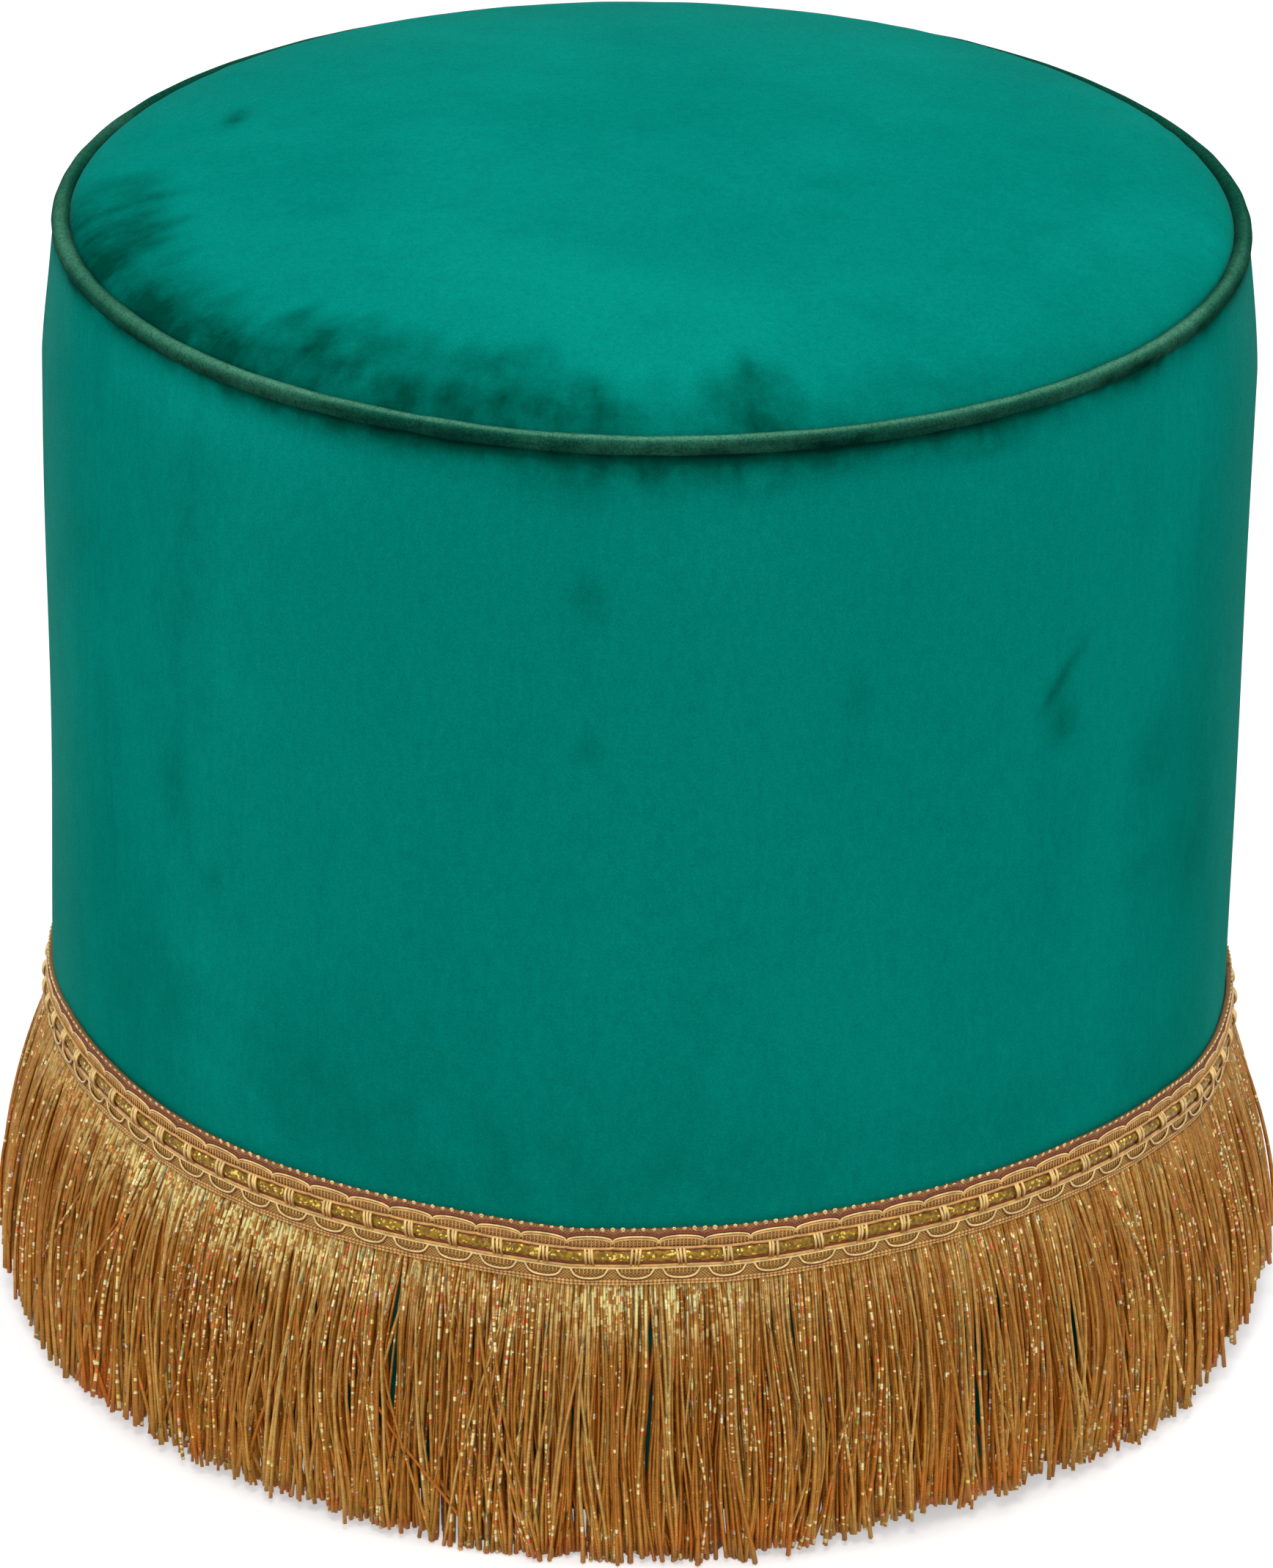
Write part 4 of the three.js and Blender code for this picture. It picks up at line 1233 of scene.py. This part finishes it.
def make_tape(material):
    """The woven tape behind the cords: a thin band turned about +Z with a shallow channel."""
    height = np.linspace(TAPE_TOP, TAPE_FOOT, TAPE_ROWS)
    channel = np.exp(-((height - CHANNEL_LEVEL) / CHANNEL_HALF_HEIGHT) ** 2)
    outer = TAPE_OUTER - channel * CHANNEL_DEPTH
    inner = BODY_RADIUS + 0.1 * MM
    radius = np.concatenate([outer, [inner, inner]])
    level = np.concatenate([height, [TAPE_FOOT, TAPE_TOP]])
    angle = np.arange(TAPE_COLUMNS) / TAPE_COLUMNS * TURN
    points = at(angle[None, :], radius[:, None], level[:, None] + trim_rise(angle)[None, :])
    values = {
        "around": np.tile(np.arange(TAPE_COLUMNS) * TAPE_RIBS, len(radius)),
        "up": np.repeat((level - TAPE_FOOT) / TAPE_THREAD, TAPE_COLUMNS),
    }
    faces = turned_faces(len(radius), TAPE_COLUMNS)[:, ::-1]
    piece = mesh_piece("gimp_tape_woven", points.reshape(-1, 3), [faces], material, values)
    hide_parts("gimp_tape")


# The mauve cords are partly real dark yarn and partly painted shade: they lie under the picots,
# along both edges of the metallic cord and under the hanging loops.
# Cords of the gimp: name, how far in mm it stands out from the tape and above the gimp's top, how
# far in mm a bend carries it outwards and upwards, its radius in mm, and its yarn
ARCHED_CORDS = [
    ("gimp_top_shadow_cord", 0.1, -4.3, 0, 1.7, 0.5, "mauve"),
    ("gimp_arched_cord", 0.5, -5.4, 0, 1.9, 0.34, "cream"),
    ("gimp_arched_cord_inner", 0.5, -6.2, 0, 1.8, 0.36, "rose"),
    ("gimp_upper_edge", 0.7, -7.5, 0, -0.4, 0.5, "rose"),
    ("gimp_channel_top_cord", 0.2, -8.35, 0, -0.4, 0.5, "mauve"),
]
HANGING_CORDS = [
    ("gimp_channel_foot_cord", 0.2, -13.35, 0, 0, 0.5, "mauve"),
    ("gimp_lower_edge", 0.7, -14.2, 0, 0, 0.5, "rose"),
    ("gimp_lower_edge_inner", 0.5, -15.2, 0, 0, 0.4, "cream"),
    ("gimp_hanging_loops", 0.5, -15.4, 0.5, -3.5, 0.36, "cream"),
    ("gimp_hanging_shadow_cord", 0, -15.8, 0.5, -3.9, 0.4, "mauve"),
]
# Cords along the tape's foot: name, how far in mm above it, and radius in mm
SELVAGE_CORDS = [("gimp_selvage_cord", 1.5, 0.5), ("gimp_selvage_foot_cord", 0.4, 0.45)]


def make_picots(trim, material):
    """The picot edge: a path that loops once for each picot, each loop a little higher or lower."""
    rng = np.random.default_rng(17)
    share = np.arange(trim.picots * PICOT_STEPS) / (trim.picots * PICOT_STEPS)
    loop = share * trim.picots * TURN
    size = np.repeat(rng.uniform(0.45, 1.05, trim.picots), PICOT_STEPS)
    swing = np.sin(loop) * PICOT_HALF_WIDTH / TAPE_OUTER
    level = PICOT_LEVEL + PICOT_HALF_HEIGHT * size * np.cos(loop) + trim_rise(share * TURN)
    path = at(share * TURN - swing, TAPE_OUTER - 0.1 * MM + 0.3 * MM * np.cos(loop), level)
    thick = PICOT_THREAD * size[None]
    return tubes("gimp_picot_edge", path[None], thick, CORD_SIDES, material, closed=True)


def make_metallic_cord(trim, share, material):
    """The metallic cord: a flattened tube whose section has three ridges that twist round it."""
    side_turn = np.arange(LUREX_SIDES)[None, :] / LUREX_SIDES * TURN
    ridge = np.cos(3 * (side_turn - share[:, None] * TURN * LUREX_TWISTS / 3))
    thickness = trim.lurex_radius * LUREX_DEPTH_SHARE * (0.92 + 0.08 * ridge)
    path = at(share * TURN, TAPE_OUTER + 0.1 * MM, LUREX_LEVEL + trim_rise(share * TURN))
    return tubes(
        "gimp_metallic_cord", path[None], thickness[None], LUREX_SIDES, material, closed=True,
        flat=1 / LUREX_DEPTH_SHARE,
    )


def make_gimp(trim, yarns):
    """Everything on the woven tape: picots, cords that follow one arch for each repeat, the
    metallic cord, cords that lie level or follow one hanging loop for each repeat, the cords along
    the foot, the wraps and the fine stitches."""
    share, place = round_share(trim)
    picots = make_picots(trim, yarns["picot"])
    upper = draped_cords(share, ARCHED_CORDS, arch(place), yarns)["gimp_upper_edge"]
    metallic = make_metallic_cord(trim, share, yarns["metallic"])
    lower = draped_cords(share, HANGING_CORDS, hanging(place), yarns)["gimp_lower_edge"]
    values = {"around": share * trim.repeats * SELVAGE_STITCHES}
    for name, above, thickness in SELVAGE_CORDS:
        gimp_cord(
            name, share, TAPE_OUTER + 0.2 * MM, TAPE_FOOT + above * MM, thickness * MM,
            yarns["selvage"], values,
        )
    make_wraps(trim, yarns["wrap"])
    make_stitches(trim, yarns["rose"])
    for piece, node in (
        (upper, "gimp_upper_edge_cord"), (metallic, "gimp_braid_cord"),
        (lower, "gimp_lower_edge_cord"),
    ):
        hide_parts(node)


WRAP_THREADS = 3
WRAP_STEPS = 11
WRAP_RADIUS = 0.46 * MM
WRAP_SPACING = 1.25 * MM
OUTER_WRAP_LIFT = 0.3 * MM


def make_wraps(trim, material):
    """Wraps over the metallic cord: threads in each repeat, each an arc from the upper edge to the
    lower one that bows out over the cord. They lean, and the outer two lie over the middle one."""
    rng = np.random.default_rng(5)
    cord_radius = TAPE_OUTER + 0.1 * MM
    top, foot = UPPER_EDGE_LEVEL, LOWER_EDGE_LEVEL
    count = trim.repeats * WRAP_THREADS
    repeat = np.repeat(np.arange(trim.repeats), WRAP_THREADS)
    thread = np.tile(np.arange(WRAP_THREADS), trim.repeats)
    along = np.linspace(0, 1, WRAP_STEPS)[None, :]
    offset = (thread - 1)[:, None] * WRAP_SPACING
    lean = rng.uniform(-0.3, 0.7, trim.repeats)[repeat][:, None] * MM
    cross = rng.normal(0, 0.16, (count, 1)) * MM
    aside = offset + (lean + cross) * (along - 0.5) * 2 + rng.normal(0, 0.12, (count, 1)) * MM
    bow = np.sin(along * math.pi) ** 0.7
    lift = np.where(thread % 2 == 0, OUTER_WRAP_LIFT, 0.0)[:, None]
    bulge = trim.lurex_radius * LUREX_DEPTH_SHARE - 0.1 * MM
    radius = cord_radius + 0.5 * MM + (bulge + lift) * bow
    middle_angle = (repeat[:, None] + 0.5) / trim.repeats * TURN
    height = top - 0.2 * MM + (foot - top + 0.2 * MM) * along + trim_rise(middle_angle)
    angle = middle_angle + aside / cord_radius
    thick = np.full((count, WRAP_STEPS), WRAP_RADIUS)
    values = {"along": along + 0 * offset}
    tubes("gimp_wraps", at(angle, radius, height), thick, 6, material, values)


STITCHES_PER_REPEAT = 12
STITCH_STEPS = 3
STITCH_RADIUS = 0.24 * MM


def make_stitches(trim, material):
    """Short upright stitches: a ladder under each arch and another above each hanging loop."""
    count = trim.repeats * STITCHES_PER_REPEAT
    share = (np.arange(count) + 0.5) / count
    place = (share * trim.repeats) % 1
    crown = arch(place)
    hang = hanging(place)
    along = np.linspace(0, 1, STITCH_STEPS)[None, :]
    rows = []
    for top, foot in (
        (GIMP_TOP - 5.9 * MM + 1.8 * MM * crown, GIMP_TOP - 7.4 * MM - 0.4 * MM * crown),
        (LOWER_EDGE_LEVEL - 1.0 * MM + 0 * hang, LOWER_EDGE_LEVEL - 1.3 * MM - 2.4 * MM * hang),
    ):
        height = top[:, None] + (foot - top)[:, None] * along + trim_rise(share * TURN)[:, None]
        rows.append(at(share[:, None] * TURN, TAPE_OUTER + 0.4 * MM, height))
    thick = np.full((2 * count, STITCH_STEPS), STITCH_RADIUS)
    tubes("gimp_ladder_stitches", np.concatenate(rows), thick, 4, material)


# Fringe

# Quarters of the fringe, in turn from +X
FRINGE_QUARTERS = ["rear_right", "rear_left", "front_left", "front_right"]
STRAND_STEPS = 14
# Of all strands, how many stray far or a little across the others, and their leans in radians
FAR_STRAYS, ALL_STRAYS = 0.03, 0.2
FAR_LEAN, SLIGHT_LEAN, STRAIGHT_LEAN = 0.06, 0.035, 0.01
LEAN_LIMIT = 1.6
BULGING_SHARE, BULGE = 0.05, 1.5 * MM
# Spread of the flare, size of the wave in and out, and of the sway round the ring in radians
FLARE_SPREAD, CLUMP_FLARE_SPREAD = 1.2 * MM, 0.6 * MM
STRAND_WAVE, STRAND_SWAY = 0.5 * MM, 0.006
# How far inside the CAD's reach the front layer stays, how much less the back layer flares, and
# how far behind the front layer it leaves the tape
FLARE_SLACK, BACK_FLARE_LOSS, ROOT_DEPTH = 2.4 * MM, 0.4, 1 * MM
# Clumps round the ring, how tightly they gather their strands at most, and how far they lean
CLUMPS = ((120, 0.4, 0.007), (420, 0.75, 0.006))
FOIL_SHARE = 0.11
LOWEST_END, HIGHEST_END = 0.7 * MM, 19 * MM
END_SWELL = 0.45
# Angle in degrees and how early the strands swing out
FLARE_POWER = [
    (-180, 2), (-166, 2.1), (-150, 3.2), (-52, 3.2), (-32, 2.5), (-14, 1.6), (14, 1.6), (40, 2.5),
    (140, 2.5),
]
# Angle in degrees and height in mm of the cut ends above the floor
CUT_ENDS = [
    (-180, 8), (-168, 11), (-160, 9), (-151, 1), (-143, 6.4), (-121, 5.8), (-112, 5.8),
    (-107, 1.2), (-98, 0.8), (-88, 1), (-82, 3.2), (-77, 7), (-70, 8.4), (-47, 8), (-42, 7),
    (-35, 5), (-22, 12), (-12, 16), (0, 15), (20, 7), (90, 3.5),
]
# Angle in degrees and how far the strands lean across each other
TANGLE = [
    (-180, 1.3), (-165, 2.2), (-150, 2.8), (-122, 2.4), (-104, 1.5), (-85, 1.1), (-60, 1),
    (-22, 1.4), (0, 1.4), (90, 1.2),
]
# Angle in degrees and how strong the painted highlight on the strands is under the gimp
PAINTED_HIGHLIGHT = [
    (-175, 0.2), (-150, 0.5), (-143, 1), (-124, 1), (-116, 0.5), (-98, 0.4), (-93, 1), (-84, 1),
    (-79, 0.3), (-60, 0.15), (-10, 0.1), (90, 0.1),
]


def strand_sway(rng, count, size, fall, slowest, fastest):
    """A wave along each strand, in its own phase and pace, that grows from nothing at its root."""
    pace = rng.uniform(slowest, fastest, count)[:, None]
    phase = rng.uniform(0, TURN, count)[:, None]
    return rng.normal(0, size, count)[:, None] * np.sin(fall * pace + phase) * fall ** 0.8


def make_fringe(trim, material):
    """Strands in layers. A strand leaves the tape's foot and swings out by the flare times one less
    the rest of its fall to a power from a table. It leans towards its clump and sways."""
    rng = np.random.default_rng(21)
    count = trim.strands * trim.layers
    layer = np.repeat(np.arange(trim.layers), trim.strands)
    depth = layer / max(1, trim.layers - 1)
    place = np.tile(np.arange(trim.strands), trim.layers) + rng.uniform(-0.5, 0.5, count)
    root_angle = place / trim.strands * TURN
    fall = np.linspace(0, 1, STRAND_STEPS)[None, :]

    draw = rng.random(count)
    kinds = [draw < FAR_STRAYS, draw < ALL_STRAYS]
    lean = rng.normal(0, 1, count).clip(-LEAN_LIMIT, LEAN_LIMIT)
    lean = lean * np.select(kinds, [FAR_LEAN, SLIGHT_LEAN], STRAIGHT_LEAN)
    lean = lean * round_table(TANGLE, root_angle)[0]
    angle = root_angle[:, None] + lean[:, None] * fall ** 1.2
    angle = angle + strand_sway(rng, count, STRAND_SWAY, fall, 3, 9)
    flare = rng.normal(0, FLARE_SPREAD, count) + np.where(draw < BULGING_SHARE, BULGE, 0)
    wave = strand_sway(rng, count, STRAND_WAVE, fall, 4, 10)
    drop = rng.normal(0, 0.35, count) * trim.unevenness
    for clumps, tightest, spread in CLUMPS:
        clump_place = np.arange(clumps) + rng.uniform(-0.45, 0.45, clumps)
        clump_angle = np.sort(clump_place / clumps * TURN)
        gaps = np.abs(half_turn_either_way(root_angle[:, None] - clump_angle[None, :]))
        nearest = gaps.argmin(1)
        pull = half_turn_either_way(clump_angle[nearest] - root_angle)
        gathered = rng.uniform(0.1, tightest, clumps)[nearest]
        angle = angle + (pull * gathered)[:, None] * fall ** 1.1
        angle = angle + rng.normal(0, spread, clumps)[nearest][:, None] * fall ** 1.3
        angle = angle + strand_sway(rng, clumps, STRAND_SWAY, fall, 3, 7)[nearest]
        flare = flare + rng.normal(0, CLUMP_FLARE_SPREAD, clumps)[nearest]
        drop = drop + rng.normal(0, 0.6, clumps)[nearest] * trim.unevenness
    root = TAPE_OUTER - 0.3 * MM - depth * ROOT_DEPTH
    flare = flare + (FRINGE_REACH - TAPE_OUTER - FLARE_SLACK) * (1 - BACK_FLARE_LOSS * depth)
    (power,) = round_table(FLARE_POWER, root_angle)
    radius = root[:, None] + flare[:, None] * (1 - (1 - fall) ** power[:, None]) + wave
    (level,) = round_table(CUT_ENDS, root_angle)
    tip = np.clip(level * MM + drop, LOWEST_END, HIGHEST_END)
    top = TAPE_FOOT + 0.6 * MM + trim_rise(root_angle)
    height = top[:, None] + (tip - top)[:, None] * fall
    thickness = trim.strand_radius * rng.uniform(0.75, 1.2, count)[:, None]
    thickness = thickness * (1 + END_SWELL * fall ** 5)
    values = {
        "tone": rng.random(count)[:, None] + 0 * fall,
        "along": fall + 0 * depth[:, None],
        "depth": depth[:, None] + 0 * fall,
        "foil": (rng.random(count) < FOIL_SHARE)[:, None] + 0 * fall,
        "painted_highlight": (round_table(PAINTED_HIGHLIGHT, root_angle)[0] * (1 - 0.6 * depth))[:, None] + 0 * fall,
    }
    paths = at(angle, radius, height)
    quarter = (np.floor((root_angle % TURN) / TURN * 4).astype(int)) % 4
    for index, corner in enumerate(FRINGE_QUARTERS):
        chosen = quarter == index
        part = {key: value[chosen] for key, value in values.items()}
        piece = tubes(
            "fringe_strands_" + corner, paths[chosen], thickness[chosen], 4, material, part
        )
        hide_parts("fringe_" + corner)


# Frame and foot

def dress_frame():
    """Gives each carried-over node of the frame and foot its own procedural finish."""
    plywood = wood_material("plywood", (206, 168, 112), (176, 132, 78), (14.0, 90.0, 260.0))
    pine = wood_material("pine", (222, 188, 134), (186, 140, 84), (120.0, 120.0, 9.0))
    hardboard = fine_material("hardboard", (126, 88, 56), 0.8, 0.0, 900.0, 0.1 * MM)
    steel = fine_material("zinc_steel", (188, 190, 194), 0.32, 1.0, 500.0, 0.05 * MM)
    lining = fine_material("dust_cover_cloth", (34, 34, 36), 0.95, 0.0, 1300.0, 0.3 * MM)
    plastic = fine_material("glide_plastic", (44, 44, 46), 0.45, 0.0, 700.0, 0.05 * MM)
    finishes = {
        "seat_board_screw": steel, "base_board_screw": steel, "staple": steel, "post": pine,
        "hardboard_wall": hardboard, "dust_cover": lining, "glide": plastic,
        "seat_board": plywood, "base_board": plywood,
    }
    for name, node in frame["nodes"].items():
        finish = next((value for key, value in finishes.items() if name.startswith(key)), None)
        if finish:
            node.data.materials.clear()
            node.data.materials.append(finish)


# Stage

CAMERA_PLACE = (0.0, -2.54645, 1.39218)
CAMERA_PITCH = math.radians(25.416)
CAMERA_YAW = math.radians(0.0507)
CAMERA_ROLL = math.radians(0.878)
CAMERA_LENS = 184.66
SENSOR = 36.0
WORLD_STRENGTH = 0.42
FLOOR_HALF = 6.0
FLOOR_GLOW = 0.45
# Name, place, where it points, diameter in metres and power in watts
LAMPS = [
    ("key_lamp", (-0.1, -1.75, 2.3), (0, 0, 0.2), 0.9, 22),
    ("front_lamp", (-0.05, -2.6, 1.5), (0, 0, 0.05), 0.45, 9),
    ("top_lamp", (0.1, 0.2, 2.6), (0, 0, 0.3), 1.6, 20),
    ("left_lamp", (-2.3, -0.1, 1.0), (0, 0, 0.2), 0.8, 6),
    ("right_lamp", (2.3, -0.1, 1.0), (0, 0, 0.2), 0.8, 5),
]


def make_camera():
    """A long-lens camera in front of the tuffet, looking down at it."""
    data = bpy.data.cameras.new("camera")
    data.lens = CAMERA_LENS
    data.sensor_width = SENSOR
    camera = bpy.data.objects.new("camera", data)
    bpy.context.scene.collection.objects.link(camera)
    camera.matrix_world = (
        Matrix.Translation(CAMERA_PLACE) @ Matrix.Rotation(CAMERA_YAW, 4, "Z")
        @ Matrix.Rotation(math.pi / 2 - CAMERA_PITCH, 4, "X") @ Matrix.Rotation(CAMERA_ROLL, 4, "Z")
    )
    bpy.context.scene.camera = camera


def make_lamp(name, place, target, size, power):
    """A soft round lamp at a place, turned towards a target."""
    data = bpy.data.lights.new(name, "AREA")
    data.shape = "DISK"
    data.size = size
    data.energy = power
    lamp = bpy.data.objects.new(name, data)
    bpy.context.scene.collection.objects.link(lamp)
    turn = (Vector(place) - Vector(target)).to_track_quat("Z", "Y").to_matrix().to_4x4()
    lamp.matrix_world = Matrix.Translation(place) @ turn


def make_world():
    """White to the camera and in gloss, and an even pale light elsewhere."""
    world = bpy.data.worlds.new("studio")
    bpy.context.scene.world = world
    world.use_nodes = True
    tree = world.node_tree
    background = tree.nodes["Background"]
    background.inputs["Color"].default_value = (1.0, 1.0, 1.0, 1.0)
    extra = maths(tree, "MULTIPLY", seen_rays(tree), 1.0 - WORLD_STRENGTH)
    tree.links.new(maths(tree, "ADD", extra, WORLD_STRENGTH), background.inputs["Strength"])


def seen_rays(tree):
    """1 for a ray from the camera or sent on by a gloss or a clear piece, and 0 for others."""
    rays = add_node(tree, "ShaderNodeLightPath").outputs
    sent_on = maths(tree, "ADD", rays["Is Glossy Ray"], rays["Is Transmission Ray"])
    return maths(tree, "ADD", rays["Is Camera Ray"], sent_on, clamp=True)


def make_floor():
    """A wide pale floor that looks white to the camera where the object doesn't shade it."""
    corners = [(-1, -1), (1, -1), (1, 1), (-1, 1)]
    points = [(FLOOR_HALF * x, FLOOR_HALF * y, 0) for x, y in corners]
    material, tree, shader = new_material("floor_paint")
    set_shader(shader, Base_Color=(0.8, 0.8, 0.8, 1.0), Roughness=0.9, Specular_IOR_Level=0.1)
    glow = add_node(tree, "ShaderNodeEmission", {"Color": (1.0, 1.0, 1.0, 1.0)})
    tree.links.new(maths(tree, "MULTIPLY", seen_rays(tree), FLOOR_GLOW), glow.inputs["Strength"])
    total = add_node(tree, "ShaderNodeAddShader", {0: shader.outputs[0], 1: glow.outputs[0]})
    tree.links.new(total.outputs[0], tree.nodes["Material Output"].inputs["Surface"])
    mesh = bpy.data.meshes.new("floor")
    mesh.from_pydata(points, [], [(0, 1, 2, 3)])
    mesh.materials.append(material)
    floor = bpy.data.objects.new("floor", mesh)
    bpy.context.scene.collection.objects.link(floor)


# Operators

class TUFFET_OT_stage(bpy.types.Operator):
    """Makes the camera, the lamps, the white surroundings and the floor"""

    bl_idname = "tuffet.stage"
    bl_label = "Stage"

    def execute(self, context):
        context.scene.view_settings.view_transform = "Standard"
        make_camera()
        make_world()
        for lamp in LAMPS:
            make_lamp(*lamp)
        make_floor()
        return {"FINISHED"}


class TUFFET_OT_upholstery(bpy.types.Operator):
    """Makes the velvet seat, the velvet side and the piping"""

    bl_idname = "tuffet.upholstery"
    bl_label = "Upholstery"

    def execute(self, context):
        sizes, tints = context.scene.tuffet_upholstery, context.scene.tuffet_colours
        velvet = velvet_material(
            "emerald_velvet", tints.velvet, tints.velvet_light, tints.velvet_crushed,
            cloudiness=0.3, speckle=0.75, sheen_tint=srgb(222, 235, 230), sheen=0.3,
        )
        piping = velvet_material(
            "piping_velvet", tints.piping, tints.piping_light, tints.piping_dark,
            cloudiness=0.3, speckle=2.0, sheen_tint=srgb(225, 230, 225), sheen=0.15,
        )
        make_seat(sizes, velvet)
        make_side(sizes, velvet)
        make_piping(sizes, piping)
        return {"FINISHED"}


class TUFFET_OT_gimp(bpy.types.Operator):
    """Makes the gimp braid: tape, cords, loops, stitches and wraps"""

    bl_idname = "tuffet.gimp"
    bl_label = "Gimp braid"

    def execute(self, context):
        trim, tints = context.scene.tuffet_trim, context.scene.tuffet_colours
        rose = srgb(220, 167, 94)
        yarns = {
            "cream": yarn_material("cream_yarn", tints.cream, 0.42, 0.1),
            "picot": yarn_material("picot_yarn", srgb(250, 216, 146), 0.42, 0.1),
            # Painted highlight: each wrap is pale at its top, and it turns to a darker gold towards
            # its foot as painted shade.
            "wrap": yarn_material("wrap_yarn", srgb(246, 210, 138), 0.4, 0.1, srgb(172, 116, 48)),
            "mauve": yarn_material("mauve_yarn", tints.mauve, 0.7),
            "rose": yarn_material("rose_yarn", rose),
            "selvage": yarn_material("selvage_yarn", rose, ribbed=True),
            "metallic": lurex_material("metallic_yarn", tints.lurex),
        }
        make_tape(tape_material(
            "woven_tape", first=srgb(152, 94, 56), second=srgb(226, 178, 108),
            edge=srgb(118, 54, 32), gold=srgb(206, 158, 66), gold_dark=srgb(116, 66, 26),
        ))
        make_gimp(trim, yarns)
        return {"FINISHED"}


class TUFFET_OT_fringe(bpy.types.Operator):
    """Makes the cut fringe"""

    bl_idname = "tuffet.fringe"
    bl_label = "Fringe"

    def execute(self, context):
        tints = context.scene.tuffet_colours
        yarn = fringe_material("gold_yarn", tints.gold, tints.gold_deep)
        make_fringe(context.scene.tuffet_trim, yarn)
        return {"FINISHED"}


class TUFFET_OT_frame(bpy.types.Operator):
    """Finishes the wooden frame, the dust cover, the fixings and the glides"""

    bl_idname = "tuffet.frame"
    bl_label = "Frame and foot"

    def execute(self, context):
        dress_frame()
        return {"FINISHED"}


OPERATORS = (
    TUFFET_OT_stage, TUFFET_OT_upholstery, TUFFET_OT_gimp, TUFFET_OT_fringe, TUFFET_OT_frame,
)


class TUFFET_PT_panel(bpy.types.Panel):
    """Lists the steps that build the tuffet"""

    bl_idname = "TUFFET_PT_panel"
    bl_label = "Tuffet"
    bl_space_type = "VIEW_3D"
    bl_region_type = "UI"
    bl_category = "Tuffet"

    def draw(self, context):
        for group in ("tuffet_upholstery", "tuffet_trim", "tuffet_colours"):
            box = self.layout.box()
            settings = getattr(context.scene, group)
            for name in settings.__annotations__:
                box.prop(settings, name)
        for operator in OPERATORS:
            self.layout.operator(operator.bl_idname)


CLASSES = (TuffetUpholstery, TuffetTrim, TuffetColours, *OPERATORS, TUFFET_PT_panel)


def register():
    for made in CLASSES:
        bpy.utils.register_class(made)
    bpy.types.Scene.tuffet_upholstery = PointerProperty(type=TuffetUpholstery)
    bpy.types.Scene.tuffet_trim = PointerProperty(type=TuffetTrim)
    bpy.types.Scene.tuffet_colours = PointerProperty(type=TuffetColours)


def unregister():
    del bpy.types.Scene.tuffet_colours
    del bpy.types.Scene.tuffet_trim
    del bpy.types.Scene.tuffet_upholstery
    for made in reversed(CLASSES):
        bpy.utils.unregister_class(made)


def main():
    register()
    bpy.ops.tuffet.stage()
    bpy.ops.tuffet.upholstery()
    bpy.ops.tuffet.gimp()
    bpy.ops.tuffet.fringe()
    bpy.ops.tuffet.frame()


if __name__ == "__main__":
    main()
